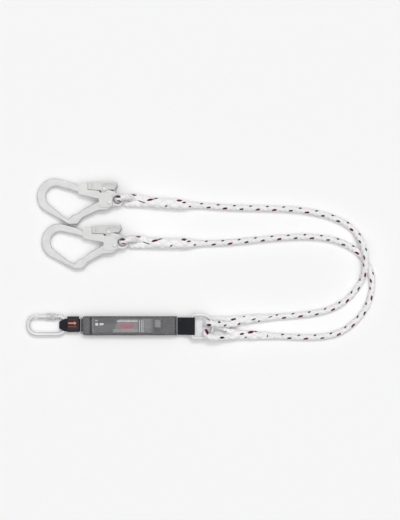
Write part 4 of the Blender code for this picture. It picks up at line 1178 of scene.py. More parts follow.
@dataclass
class Karabiner:
    """Oval screw-gate karabiner."""

    steel: bpy.types.Material
    sleeve_steel: bpy.types.Material
    spring_steel: bpy.types.Material
    rod: float = 10.5 * MM
    straight: float = 48.8 * MM
    radius: float = 23.5 * MM
    right_x: float = -183.5 * MM
    centre_y: float = 1.25 * MM
    level: float = 9.2 * MM
    gate_y: float = 22 * MM
    gate_diameter: float = 12 * MM
    hinge_y: float = 23 * MM
    ear: float = 6.2 * MM
    ear_height: float = 10.6 * MM
    tang: float = 4.4 * MM
    tang_radius: float = 5.6 * MM
    nose_diameter: float = 11.8 * MM
    latch_diameter: float = 2.4 * MM
    sleeve_diameter: float = 17.5 * MM
    sleeve_length: float = 23 * MM
    spring_bore: float = 6.8 * MM
    rivet_bore: float = 3.8 * MM
    rivet_shank: float = 3.2 * MM
    rivet_head: float = 6 * MM
    left_x: float = field(init=False)
    hinge_x: float = field(init=False)
    gate_end: float = field(init=False)
    latch_x: float = field(init=False)
    nose_right: float = field(init=False)
    sleeve_right: float = field(init=False)
    hinge: Flat = field(init=False)
    gate_axis: Flat = field(init=False)

    def __post_init__(self) -> None:
        """Work out the places that follow from the sizes."""
        self.left_x = self.right_x - self.straight
        self.hinge_x = self.left_x - 1.7 * MM
        self.gate_end = self.right_x + 2.1 * MM
        self.latch_x = self.gate_end - 2 * MM
        self.nose_right = self.right_x + 7.5 * MM
        self.sleeve_right = self.right_x - 3.1 * MM
        self.hinge = (self.hinge_x, self.hinge_y, self.level)
        self.gate_axis = (0, self.gate_y, self.level)

    def lifted(self, work: bmesh.types.BMesh) -> bmesh.types.BMesh:
        """Move a body drawn at zero height to the karabiner's level."""
        bmesh.ops.translate(work, verts=work.verts, vec=(0, 0, self.level))
        return work

    def tang_plate(self, hinge_angle: float) -> bmesh.types.BMesh:
        """Flat tang between the rod's hinge end, at an angle in degrees, and the rivet."""
        lead = math.radians(hinge_angle + 8)
        start = (self.left_x + self.radius * math.cos(lead),
                 self.centre_y + self.radius * math.sin(lead))
        away = math.degrees(math.atan2(self.hinge_y - start[1], self.hinge_x - start[0]))
        outline = arc((self.hinge_x, self.hinge_y), self.tang_radius, away - 90, away + 90, 18)
        outline += arc(start, 0.4 * self.rod, away + 90, away + 270, 10)
        half = self.tang / 2
        return self.lifted(slab(outline, -half, half, quarter(0.6 * MM, 0.6 * MM, 3)))

    def claw(self) -> bmesh.types.BMesh:
        """Tongue of the nose with the notch for the latch pin."""
        pin = self.latch_diameter / 2 + CLEARANCE
        left = self.latch_x - pin - MM
        high, mouth, low = (self.gate_y + off * MM for off in (3.6, -0.5, -3))
        tongue = [(self.nose_right, high), (left, high), (left, mouth), (self.latch_x - pin, mouth)]
        tongue += arc((self.latch_x, self.gate_y), pin, 180, 0, 12)
        tongue += [(self.latch_x + pin, low), (self.nose_right, low)]
        return self.lifted(slab(tongue, -2 * MM, 2 * MM))

    def body(self) -> bpy.types.Object:
        """Bent rod with its flat hinge tang and notched nose."""
        share = (self.left_x - self.hinge_x + self.ear + 1.8 * MM) / self.radius
        hinge_angle = 90 + math.degrees(math.asin(share))
        share = (self.nose_right - self.right_x - MM) / self.radius
        nose_angle = 90 - math.degrees(math.asin(share))
        low = self.centre_y - self.radius
        flat = arc((self.left_x, self.centre_y), self.radius, hinge_angle, 270, 34)
        flat += run((self.left_x, low), (self.right_x, low), 9)[1:]
        flat += arc((self.right_x, self.centre_y), self.radius, -90, nose_angle, 38)
        route = Route([Vector((x, y, self.level)) for x, y in flat])
        piece = placed("karabiner_rod", sweep(route, 32, disc(self.rod / 2)), self.steel)
        end = self.gate_end + 2 * CLEARANCE
        nose = rod_along_x(barrel(self.nose_diameter / 2, end, self.nose_right, 0.7 * MM), 36,
                           self.gate_axis)
        bore = upright(barrel(self.rivet_bore / 2, -self.rod, self.rod), 28, self.hinge)
        return worked(piece, [(Operation.JOIN, nose), (Operation.JOIN, self.tang_plate(hinge_angle)),
                              (Operation.JOIN, self.claw()), (Operation.CUT, bore)])

    def gate(self) -> bpy.types.Object:
        """Gate tube with hinge ears, spring bore and latch slot."""
        radius = self.gate_diameter / 2
        tube = barrel(radius, self.hinge_x + 3.5 * MM, self.gate_end, 0.5 * MM)
        piece = placed("karabiner_gate_tube", rod_along_x(tube, 40, self.gate_axis), self.steel)
        half = self.ear_height / 2
        ears = upright(barrel(self.ear, -half, half, 0.8 * MM), 36, self.hinge)
        slot = self.tang / 2 + CLEARANCE
        low_y = self.hinge_y - 2 * radius
        high_y = self.hinge_y + 2 * radius
        spring = barrel(self.spring_bore / 2, self.hinge_x + self.tang_radius,
                        self.hinge_x + 36 * MM)
        latch = barrel(self.latch_diameter / 2 + 0.25 * MM, -2 * radius, 2 * radius)
        cuts = [
            block((self.hinge_x - 3 * self.ear, low_y, self.level - slot),
                  (self.hinge_x + self.tang_radius + 2 * MM, high_y, self.level + slot)),
            block((self.latch_x - 4 * MM, low_y, self.level - 2.3 * MM),
                  (self.gate_end + radius, high_y, self.level + 2.3 * MM)),
            rod_along_x(spring, 24, self.gate_axis),
            upright(barrel(self.rivet_bore / 2, -2 * radius, 2 * radius), 28, self.hinge),
            upright(latch, 24, (self.latch_x, self.gate_y, self.level)),
        ]
        return worked(piece, [(Operation.JOIN, ears)] + [(Operation.CUT, work) for work in cuts])

    def sleeve(self) -> bpy.types.Object:
        """Locking sleeve: knurled band, a groove and a plain collar."""
        outer = self.sleeve_diameter / 2
        inner = self.gate_diameter / 2 + CLEARANCE
        right = self.sleeve_right
        left = right - self.sleeve_length
        ridge = outer - 0.45 * MM
        profile = [(inner + 0.3 * MM, right), (outer - 0.8 * MM, right)]
        profile += [(outer - 0.8 * MM + x, right - 0.8 * MM + y)
                    for x, y in arc((0, 0), 0.8 * MM, 75, 0, 4)]
        profile += [(outer, right - 2.2 * MM), (ridge, right - 2.6 * MM)]
        profile += [(ridge, right - 2.6 * MM - 0.75 * MM * step) for step in range(1, 10)]
        profile += [(outer - drop * MM, right - back * MM) for drop, back in (
            (0, 9.7), (0, 10.2), (1.1, 10.7), (1.1, 13.4), (0, 13.9), (0, 17.8), (0.5, 18.2))]
        profile += [(outer - 0.8 * MM + x, left + 0.8 * MM + y)
                    for x, y in arc((0, 0), 0.8 * MM, 0, -75, 4)]
        profile += [(outer - 0.8 * MM, left), (inner + 0.3 * MM, left), (inner, left + 0.3 * MM),
                    (inner, right - 0.3 * MM), (inner + 0.3 * MM, right)]
        work = rod_along_x(profile, 120, self.gate_axis)
        for vert in work.verts:
            across = Vector((0, vert.co.y - self.gate_y, vert.co.z - self.level))
            if abs(across.length - ridge) > 0.02 * MM or not (
                    right - 9.4 * MM < vert.co.x < right - 2.5 * MM):
                continue
            turn = math.degrees(math.atan2(across.z, across.y))
            if round(turn / 3) % 2:
                vert.co += across.normalized() * (0.3 * MM)
        return placed("karabiner_sleeve_knurled", work, self.sleeve_steel, sharp=30)

    def rivet(self) -> bpy.types.Object:
        """Domed hinge rivet."""
        profile = rivet_profile(self.rivet_head / 2, self.ear_height / 2 + CLEARANCE, MM,
                                self.rivet_shank / 2, 6)
        return placed("karabiner_hinge_rivet", upright(profile, 28, self.hinge), self.steel)

    def build(self, nodes: dict) -> None:
        """Build and dress the whole karabiner.

        Args:
            nodes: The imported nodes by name.
        """
        for piece, body, node, slot in (
                (self.body(), "karabiner", "karabiner_body", "bright_steel"),
                (self.rivet(), "karabiner", "karabiner_gate_rivet", "bright_steel"),
                (self.gate(), "karabiner_gate", "karabiner_gate", "bright_steel"),
                (self.sleeve(), "karabiner_sleeve", "karabiner_locking_sleeve", "sleeve_steel")):
            carry(piece, body, slot, node)
        for name, finish in (("karabiner_gate_plunger", self.steel),
                             ("karabiner_gate_spring", self.spring_steel),
                             ("karabiner_latch_pin", self.steel)):
            dress(nodes[name], finish)


# Hooks


@dataclass
class Hook:
    """Large-opening hook, drawn flat round the centre of its rope eye with the bow at -X."""

    side: str
    eye: tuple[float, float]
    turn: float
    forged: bpy.types.Material
    sheet_metal: bpy.types.Material
    plated_metal: bpy.types.Material
    steel: bpy.types.Material
    spring_steel: bpy.types.Material
    thickness: float = 14 * MM
    eye_outer: float = 16 * MM
    eye_hole: float = 10 * MM
    eye_thickness: float = 9 * MM
    bow: tuple[float, float] = (-158 * MM, 9 * MM)
    bow_outer: float = 44.5 * MM
    bow_inner: float = 26 * MM
    sheet: float = 2 * MM
    rear_pad: float = 1 * MM
    gate_pivot: tuple[float, float] = (-19.5 * MM, -7.8 * MM)
    lever_pivot: tuple[float, float] = (-33.5 * MM, 26.3 * MM)
    lever_lobe: float = 7 * MM
    rivet_shank: float = 5 * MM
    rivet_head: float = 9 * MM
    spring_pocket: float = 12.6 * MM
    spring_depth: float = 4.6 * MM
    eye_room: float = 0.9 * MM
    rope_radius: float = 8 * MM
    matrix: Matrix = field(init=False)
    cheek: float = field(init=False)
    cheek_outer: float = field(init=False)

    def __post_init__(self) -> None:
        """Work out the hook's lean, so that its bow rests on the table, and its place."""
        self.cheek = self.thickness / 2 + CLEARANCE
        self.cheek_outer = self.cheek + self.sheet
        pitch, level = self.pitch_and_level()
        self.matrix = (Matrix.Translation((*self.eye, level)) @ Matrix.Rotation(self.turn, 4, "Z")
                       @ Matrix.Rotation(-pitch, 4, "Y"))

    def crown(self) -> float:
        """Radius of the rope's middle round the eye's bar."""
        bar = self.eye_outer - self.eye_hole
        return self.rope_radius + math.hypot(bar, self.eye_thickness) / 2 + self.eye_room

    def bar_offset(self) -> float:
        """Distance from the eye's centre to the middle of its bar."""
        return (self.eye_outer + self.eye_hole) / 2

    def pitch_and_level(self) -> tuple[float, float]:
        """The hook's lean and the height of its eye's centre."""
        bar_height = self.rope_radius + self.crown()
        reach = self.bow_outer - self.bow[0] - 3 * MM
        pitch = math.atan((bar_height - self.thickness / 2) / (reach + self.bar_offset()))
        return pitch, bar_height - self.bar_offset() * math.sin(pitch)

    def body_outline(self) -> list[Flat]:
        """Outline of the forged body: nose, bow, spine, rope eye and the lug of the lever."""
        corners = scaled([(-92, 16.4, 4.5), (-92, 28.2, 4.5), (-111, 41.2, 8)])
        corners += arc(self.bow, self.bow_outer, 74, 233, 44)
        corners += scaled([(-121, -62.5, 9), (-98.5, -61, 6), (-88, -46.5, 12), (-48, -27.5, 12),
                           (-25, -27, 12)])
        corners += arc((0, 0), self.eye_outer, -117, 98, 30)
        corners += scaled([(-8, 22, 5)])
        corners += arc(self.lever_pivot, 8.5 * MM, 10, 190, 18)
        corners += scaled([(-43, 12), (-46, -2.5, 6), (-66.5, -13.5, 30), (-88, -25, 10),
                           (-100, -35, 10), (-113, -38.5, 10), (-123.5, -49, 3), (-137, -40.5, 10)])
        corners += arc((self.bow[0] + 4.5 * MM, self.bow[1] - 2 * MM), self.bow_inner, 228, 78, 36)
        corners += scaled([(-120, 25, 60)])
        return rounded(corners)

    def bore(self, pivot: tuple[float, float], reach: float) -> bmesh.types.BMesh:
        """Bore of a rivet, as far as a reach to both sides."""
        return upright(barrel(self.rivet_shank / 2 + CLEARANCE, -reach, reach), 28, (*pivot, 0))

    def body(self) -> bpy.types.Object:
        """Forged body with its thinned rope eye and the pockets of the springs."""
        half = self.thickness / 2
        work = slab(self.body_outline(), -half, half, quarter(3.2 * MM, 4.6 * MM, 6))
        piece = placed(self.side + "_hook_forging", work, self.forged)
        face = self.eye_thickness / 2
        wide = self.eye_outer + MM
        hollow = 4.5 * MM
        recess = [(0, 2 * half), (wide + 4 * MM, 2 * half), (wide + 4 * MM, face + 5 * MM)]
        recess += [(wide - 0.5 * MM + hollow * (1 - math.cos(a)), face + hollow * (1 - math.sin(a)))
                   for a in quarter_turn(5)]
        recess += [(0, face)]
        soft = 2.2 * MM
        rim = self.eye_hole + soft
        eye = [(0, 2 * half), (rim, 2 * half), (rim, face)]
        eye += [(self.eye_hole + soft * (1 - math.sin(a)), face - soft * (1 - math.cos(a)))
                for a in quarter_turn(5)[1:]]
        tip = scaled([(-98.1, 5), (-80, 5), (-80, 60), (-98.1, 60)])
        cuts = [spun(recess, 56), spun(mirrored(recess), 56), spun(eye + mirrored(eye), 48),
                slab(tip, -2 * half, 2 * half)]
        pocket = barrel(self.spring_pocket / 2, half - self.spring_depth, 2 * half)
        for pivot in (self.gate_pivot, self.lever_pivot):
            cuts += [upright(pocket, 32, (*pivot, 0)), self.bore(pivot, 2 * half)]
        return worked(piece, [(Operation.CUT, work) for work in cuts])

    def gate_outline(self) -> list[Flat]:
        """Outline of the gate's cheeks."""
        return rounded(scaled([
            (-97.6, 14.6, 1.5), (-64.5, 6.9, 20), (-46.3, 2.7, 1.5), (-46.3, -17, 5), (-30, -20.5, 8),
            (-12.5, -16.5, 6), (-11, 8, 6), (-22, 17.3, 6), (-42, 17.3, 4), (-46, 22.2, 2),
            (-74.0, 24.8, 1), (-74.0, 42.8, 1), (-90.3, 41.8, 3), (-97.6, 32.2, 1.5)]))

    def gate(self) -> bpy.types.Object:
        """Gate of folded sheet: two cheeks over the body, joined at the tip and the inside."""
        outer = self.cheek_outer + self.rear_pad
        work = slab(self.gate_outline(), -outer, outer, quarter(0.8 * MM, 0.9 * MM, 3))
        piece = placed(self.side + "_hook_gate_pressing", work, self.sheet_metal)
        inside = scaled([(-110, 20), (-76, 11.3), (-76, -60), (20, -60), (20, 60), (-72, 60),
                         (-72, 40.2), (-85, 39.6), (-85, 60), (-110, 60)])
        front = scaled([(-120, -60), (-46, -60), (-46, 60), (-120, 60)])
        cuts = [slab(inside, -self.cheek, self.cheek), slab(front, self.cheek_outer, 2 * outer),
                slab(front, -2 * outer, -self.cheek_outer), self.bore(self.gate_pivot, 2 * outer)]
        return worked(piece, [(Operation.CUT, work) for work in cuts])

    def lever(self) -> bpy.types.Object:
        """Lock lever of folded sheet with a pressed line round its finger rest and a rib."""
        corners = scaled([(-73.6, 25.6, 1), (-47, 23.2, 6)])
        corners += arc(self.lever_pivot, self.lever_lobe, 215, 325, 12)
        corners += scaled([(-22, 25), (-7.5, 24.5, 3), (0, 33, 4), (-3, 43.8, 4), (-73.6, 43.3, 2)])
        outer = self.cheek_outer
        work = slab(rounded(corners), -outer, outer, quarter(0.8 * MM, 0.9 * MM, 3))
        piece = placed(self.side + "_hook_lever_pressing", work, self.plated_metal)
        inside = scaled([(-80, 0), (20, 0), (20, 30), (-6, 41.5), (-80, 41.2)])
        tools = [(Operation.CUT, slab(inside, -self.cheek, self.cheek)),
                 (Operation.CUT, self.bore(self.lever_pivot, 2 * outer))]
        crest = scaled([(-39, 33.5), (-35, 36.8), (-28, 38.8), (-20, 39), (-12, 38), (-6, 35),
                        (-3.5, 31)])
        rib = scaled([(-61.8, 28), (-61.6, 34), (-61.5, 40)])
        for sign in (-1, 1):
            line = [spot + Vector((0, 0, sign * outer))
                    for spot in smooth_curve([Vector((*spot, 0)) for spot in crest], 6)]
            tools.append((Operation.CUT, sweep(Route(line), 12, disc(0.8 * MM))))
            ridge = [Vector((*spot, sign * (outer - 0.2 * MM))) for spot in rib]
            tools.append((Operation.JOIN, sweep(Route(ridge), 12, disc(2.9 * MM, 1.3 * MM))))
        return worked(piece, tools)

    def rivet(self, label: str, pivot: tuple[float, float], outer: float) -> bpy.types.Object:
        """Domed rivet through the body and both cheeks."""
        profile = rivet_profile(self.rivet_head / 2, outer + CLEARANCE, 1.3 * MM,
                                self.rivet_shank / 2, 7)
        return placed(f"{self.side}_hook_{label}_pin", upright(profile, 32, (*pivot, 0)), self.steel)

    def build(self, nodes: dict) -> None:
        """Build and dress the whole hook.

        Args:
            nodes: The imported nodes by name.
        """
        side = self.side
        pieces = (
            (self.body(), "_hook", "_hook_body", "forged_alloy"),
            (self.gate(), "_gate", "_hook_gate", "sheet_metal"),
            (self.lever(), "_lever", "_hook_lock_lever", "sheet_metal"),
            (self.rivet("gate", self.gate_pivot, self.cheek_outer + self.rear_pad), "_hook",
             "_hook_gate_rivet", "bright_steel"),
            (self.rivet("lever", self.lever_pivot, self.cheek_outer), "_hook",
             "_hook_lever_rivet", "bright_steel"),
        )
        for piece, body, node, slot in pieces:
            piece.data.transform(self.matrix)
            carry(piece, side + body, slot, side + node)
        for label in ("gate", "lever"):
            dress(nodes[f"{side}_hook_{label}_spring"], self.spring_steel)


# Ropes


@dataclass(frozen=True)
class SpliceShape:
    """How a splice starts at the two strands of its eye and how it thins out.

    At the throat the strands lie tilted, the upper one to the left where side is 1 and to the
    right where it is -1, and each of them is spread flat by some extra half width.
    """

    length: float
    diameter: float
    hold: float
    tilt: float
    side: int
    spread: float = 0.0


@dataclass
class Ropes:
    """Both three-strand rope legs with their spliced eyes."""

    diameter: float = 2 * Hook.rope_radius
    lay: float = 41 * MM
    groove: float = 1.5 * MM
    strand_power: float = 2.6
    ring_step: float = 2 * MM
    at_hook: SpliceShape = SpliceShape(150 * MM, 26 * MM, 0.7, math.radians(8), 1, 1.7 * MM)
    at_ring: SpliceShape = SpliceShape(112 * MM, 23 * MM, 0.25, math.radians(42), -1)
    end_diameter: float = 17 * MM
    joining: float = 27 * MM
    strand_gap: float = 0.4 * MM
    hook_lean: float = 5 * MM
    lead: float = 4 * MM
    standing: float = 78 * MM
    tucked: float = 92 * MM
    tuck_height: float = 1.9 * MM
    tail: float = 30 * MM
    tracer_start: float = 4.1 * MM

    def radius(self) -> float:
        """Radius of the rope."""
        return self.diameter / 2

    def strand_offset(self) -> float:
        """Distance of each strand of an eye's throat from their middle."""
        return self.radius() + self.strand_gap / 2

    def finish(self, name: str, streaks: Sequence[Streak] = ()) -> bpy.types.Material:
        """Finish of the rope, with streaks of its own or the regular tracer yarns."""
        return RopeFinish(name, self.lay, 2 * math.pi * self.radius(),
                          streaks=tuple(streaks)).material()

    def strands(self, reach: float, share: float) -> Flat:
        """Section of three laid strands."""
        across = abs(2 * ((3 * (share + reach / self.lay)) % 1.0) - 1)
        radius = self.radius() - self.groove * across ** self.strand_power
        turn = 2 * math.pi * share
        return radius * math.sin(turn), radius * math.cos(turn), 1 - across

    def laid(self, name: str, line: Sequence[Vector], finish: bpy.types.Material, start: float,
             flatness: Callable[[float], float] = lambda _reach: 0.0) -> bpy.types.Object:
        """Laid rope along a line, pressed flat where it would sink into the table.

        Args:
            name: Name of the piece.
            line: Its middle.
            finish: Its material.
            start: Distance that the line's first point counts as.
            flatness: Share by which it is wider than high, from the distance along it.

        Returns:
            The rope.
        """

        def section(reach: float, share: float) -> Flat:
            """Point of the rope's section."""
            left, up, crown = self.strands(reach, share)
            return left * (1 + flatness(reach)), up, crown

        work = sweep(Route(line), 48, section, Chart.LAID, self.lay, start)
        for vert in work.verts:
            vert.co.z = max(vert.co.z, 0.0)
        return placed(name, work, finish, sharp=75)

    def off_table(self, path: Sequence[Vector]) -> None:
        """Lift the points of a rope's middle that lie lower than its radius."""
        for spot in path:
            spot.z = max(spot.z, self.radius())

    def pair(self, centre: Vector, forward: Vector, half: float, lean: float,
             side: int) -> tuple[Vector, Vector]:
        """Place two strands side by side.

        Args:
            centre: The middle between them.
            forward: Direction of the rope in the table's plane.
            half: Distance of each strand from the middle.
            lean: How far the upper one lies over the lower one, as an angle.
            side: Which side the upper one lies on.

        Returns:
            Centres of the upper and the lower strand.
        """
        across = Vector((-forward.y, forward.x, 0)) * (side * half * math.cos(lean))
        lift = Vector((0, 0, half * math.sin(lean)))
        return centre + across + lift, centre - across - lift

    def girth(self, shape: SpliceShape, distance: float) -> Flat:
        """Size of a splice at a distance from its eye.

        Args:
            shape: The splice.
            distance: The distance.

        Returns:
            How far the strands still lie apart, half width, half height, tilt, and height of
            its middle.
        """
        share = distance / shape.length
        apart = ease(1 - distance / self.joining)
        thinned = ease((share - shape.hold) / (1 - shape.hold))
        body = (shape.diameter + (self.end_diameter - shape.diameter) * thinned) / 2
        wide = body + (self.strand_offset() + self.radius() + shape.spread - body) * apart
        thin = body + (self.radius() + CLEARANCE - body) * apart
        lean = shape.tilt * apart
        low = math.hypot(wide * math.sin(lean), thin * math.cos(lean))
        high = self.radius() + self.strand_offset() * math.sin(shape.tilt)
        return apart, wide, thin, lean, low + (high - low) * apart

    def hook_bend(self, bar: Vector, crown: float, upper_end: Vector, lower_end: Vector,
                  aim: float) -> list[Vector]:
        """Centre line of an eye round a level bar, its strands soon side by side.

        Args:
            bar: Middle of the bar.
            crown: Radius of the line round it.
            upper_end: Where the upper strand goes.
            lower_end: Where the lower strand goes.
            aim: Direction of the eye in the table's plane.

        Returns:
            The line, the two ends left out.
        """
        along = Vector((math.cos(aim), math.sin(aim), 0))
        across = Vector((-along.y, along.x, 0))
        bend = []
        for step in range(9):
            angle = math.pi * step / 8
            lean = across * (self.hook_lean * math.cos(angle) ** 3)
            lift = Vector((0, 0, crown * math.cos(angle)))
            bend.append(bar - along * (crown * math.sin(angle)) + lean + lift)
        strands = []
        for start, end in ((bend[0], upper_end), (bend[-1], lower_end)):
            strand = []
            for step in range(1, 6):
                share = step / 5
                spot = start.lerp(end, share)
                early = 1 - (1 - min(1.0, 2.2 * share)) ** 2
                spot.y = start.y + (end.y - start.y) * early
                spot.z = start.z + (end.z - start.z) * ease(share)
                strand.append(spot)
            strands.append(strand)
        return (list(reversed(strands[0])) + bend + strands[1])[1:-1]

    def round_hook(self, hook: Hook, throat: Vector, forward: Vector) -> list[Vector]:
        """Centre line of the eye round the bar of a hook's rope eye.

        Args:
            hook: The hook.
            throat: Where the eye meets its splice.
            forward: Direction of the leg there.

        Returns:
            Points of the eye between its strands.
        """
        pitch, _ = hook.pitch_and_level()
        out = Vector((math.cos(hook.turn), math.sin(hook.turn), 0))
        bar = Vector((*hook.eye, 0)) + out * (hook.bar_offset() * math.cos(pitch))
        bar.z = self.radius() + hook.crown()
        half = self.strand_offset()
        tilt = self.at_hook.tilt
        centre = Vector((throat.x, throat.y, self.radius() + half * math.sin(tilt)))
        upper, lower = self.pair(centre, forward, half, tilt, self.at_hook.side)
        lead = forward * self.lead
        aim = math.atan2(throat.y - bar.y, throat.x - bar.x)
        return self.hook_bend(bar, hook.crown(), upper - lead, lower - lead, aim)

    def tails(self, line: Sequence[Vector],
              shape: SpliceShape) -> tuple[list[Vector], list[Vector]]:
        """Ends of an eye's two strands, which run on into the splice and close up there.

        Args:
            line: Route of the leg from this end.
            shape: The splice.

        Returns:
            Points of the upper and the lower strand, from the throat inward.
        """
        spots = stretch(line, 0, self.tail, 3 * MM)
        upper, lower = [], []
        for index, spot in enumerate(spots):
            distance = self.tail * index / (len(spots) - 1)
            forward = (spots[min(index + 1, len(spots) - 1)] - spots[max(index - 1, 0)]).normalized()
            _, wide, _, lean, height = self.girth(shape, distance)
            room = wide - self.radius() - shape.spread
            half = min(self.strand_offset(), room - 0.9 * MM * distance / self.tail)
            centre = Vector((spot.x, spot.y, height))
            for strand, place in zip((upper, lower),
                                     self.pair(centre, forward, half, lean, shape.side)):
                strand.append(place)
        return upper, lower

    def eye(self, name: str, tails: tuple[list[Vector], list[Vector]], forward: Vector,
            between: Sequence[Vector], finish: bpy.types.Material,
            spread: float) -> bpy.types.Object:
        """Laid rope from one strand end to the other, both running on into the splice.

        Args:
            name: Name of the piece.
            tails: Points of the two strands inside the splice, from the throat inward.
            forward: Direction of the leg at the throat.
            between: Points of the eye between the strands.
            finish: Its material.
            spread: Extra half width of the strands where they lie side by side.

        Returns:
            The eye.
        """
        upper, lower = tails
        lead = forward * self.lead
        line = smooth_curve([upper[0] - lead] + list(between) + [lower[0] - lead], 8)
        line = list(reversed(upper)) + line + lower
        path = stretch(line, 0, line_length(line), self.ring_step)
        self.off_table(path)
        throat = (upper[0] + lower[0]) / 2

        def flatness(reach: float) -> float:
            """Share by which the rope is wider than high."""
            spot = path[min(round(reach / self.ring_step), len(path) - 1)]
            inward = (spot - throat).dot(forward) + 30 * MM
            return spread / self.radius() * ease(inward / (12 * MM))

        return self.laid(name, path, finish, 0.0, flatness)

    def splice(self, name: str, line: Sequence[Vector], shape: SpliceShape,
               finish: bpy.types.Material, start: float) -> bpy.types.Object:
        """Tucked part of a leg: two strands wide at the eye, plaited, then down to the rope.

        Args:
            name: Name of the piece.
            line: Route of the leg from this end.
            shape: How it starts and thins out.
            finish: Its material.
            start: Distance that the line's first point counts as.

        Returns:
            The splice.
        """
        end = shape.length + 3 * MM
        spots = stretch(line, CLEARANCE, end, 1.15 * MM)
        sizes = []
        for index, spot in enumerate(spots):
            distance = end * index / (len(spots) - 1)
            sizes.append((distance, *self.girth(shape, distance)))
            spot.z = sizes[-1][-1]
        route = Route(spots)

        def section(reach: float, turn: float) -> Flat:
            """Point of the splice's section."""
            ring = min(round((reach - start) / end * (len(sizes) - 1)), len(sizes) - 1)
            distance, apart, wide, thin, lean, level = sizes[ring]
            angle = 2 * math.pi * turn
            standing = 3 * (turn + reach / self.standing)
            tucked = 3 * (turn - reach / self.tucked)
            across, along = abs(2 * (standing % 1.0) - 1), abs(2 * (tucked % 1.0) - 1)
            if (math.floor(standing) + math.floor(tucked)) % 2:
                across, along = along, across
            cushion = (1 - across ** 2) * (1 - along ** 3)
            strand = 3 * (turn + reach / self.lay)
            strand = 1 - abs(2 * (strand % 1.0) - 1) ** self.strand_power
            plain = ease((distance - 0.8 * shape.length) / (0.17 * shape.length))
            crown = cushion + (strand - cushion) * plain
            sunk = ease(distance / (7 * MM))
            rise = self.tuck_height * (1 - plain) * sunk
            rise = (rise + self.groove * plain) * crown - 0.45 * rise - self.groove * plain
            notch = 1 - 0.2 * apart * math.exp(-(math.sin(angle) / 0.3) ** 2)
            grown = 0.82 + 0.18 * sunk
            left = (wide * notch * grown + rise) * math.sin(angle) * shape.side
            up = (thin * notch * grown + rise) * math.cos(angle)
            tilted = lean * shape.side
            place_left = left * math.cos(tilted) - up * math.sin(tilted)
            place_up = left * math.sin(tilted) + up * math.cos(tilted)
            return place_left, max(place_up, 0.1 * MM - level), crown

        work = sweep(route, 84, section, Chart.LAID, self.lay, start)
        return placed(name, work, finish, sharp=75)

    def streaks_on(self, line: Sequence[Vector], streaks: Sequence[Flat]) -> list[Streak]:
        """Put streaks on a leg.

        Args:
            line: Route of the leg from one end.
            streaks: Distance from the throat, distance to the left, half length and half width
                in millimetres, tilt in degrees, and 1 where it is red; before the throat the
                line is taken as straight.

        Returns:
            The streaks in the frame.
        """
        spots = stretch(line, 0, 160 * MM, MM)
        made = []
        for along, left, reach, breadth, tilt, red in streaks:
            index = min(max(round(along), 0), len(spots) - 2)
            forward = (spots[index + 1] - spots[index]).normalized()
            spot = spots[index] + forward * (min(along, 0.0) * MM)
            spot += Vector((-forward.y, forward.x, 0)) * (left * MM)
            heading = math.atan2(forward.y, forward.x) + math.radians(tilt)
            above = (26 if along < -25 else 9) * MM
            made.append(Streak((spot.x, spot.y), reach * MM, breadth * MM, heading, bool(red), above))
        return made

    def end(self, name: str, line: Sequence[Vector], forward: Vector, between: Sequence[Vector],
            shape: SpliceShape, streaks: Sequence[Flat], start: float) -> None:
        """Build one end of a leg: its eye and its splice.

        Args:
            name: Name of the end.
            line: Route of the leg from this end.
            forward: Direction of the leg at the throat.
            between: Points of the eye between its strands.
            shape: The splice.
            streaks: Streaks of the eye and the splice.
            start: Distance that the line's first point counts as.
        """
        finish = self.finish(name + "_end_rope", self.streaks_on(line, streaks))
        eye = self.eye(name + "_eye_rope", self.tails(line, shape), forward, between, finish,
                       shape.spread)
        splice = self.splice(name + "_splice_tucks", line, shape, finish, start)
        carry(eye, "ropes", "white_rope", name + "_eye")
        carry(splice, "ropes", "white_rope", name + "_splice")

    def leg(self, side: str, hook: Hook, points: Sequence[Flat], ring_points: Sequence[Flat],
            ring_streaks: Sequence[Flat], rope: bpy.types.Material) -> None:
        """Build one leg: hook eye and splice, free rope, ring splice and eye.

        Args:
            side: Name of the leg.
            hook: The hook on its end.
            points: Route between the two throats in millimetres.
            ring_points: Ring eye between its strands in millimetres.
            ring_streaks: Streaks of the ring eye and its splice.
            rope: Finish of the free rope.
        """
        spots = [Vector(point) * MM for point in points]
        line = smooth_curve(spots)
        total = line_length(line)
        forward = (spots[1] - spots[0]).normalized()
        self.end(side + "_hook", line, forward, self.round_hook(hook, spots[0], forward),
                 self.at_hook, HOOK_STREAKS, self.tracer_start)
        self.end(side + "_ring", list(reversed(line)), (spots[-2] - spots[-1]).normalized(),
                 [Vector(point) * MM for point in ring_points], self.at_ring, ring_streaks,
                 -(total + self.tracer_start))

        start = self.at_hook.length - 2 * MM
        path = stretch(line, start, total - self.at_ring.length + 2 * MM, self.ring_step)
        self.off_table(path)
        free = self.laid(side + "_rope_free", path, rope, start + self.tracer_start)
        carry(free, "ropes", "white_rope", side + "_rope_leg")
        length = line_length(path)
        tuple(path[0])
        [tuple(p) for p in path]
        LOG.info("%s leg: free rope %.3f m, whole route %.3f m", side, length, total)


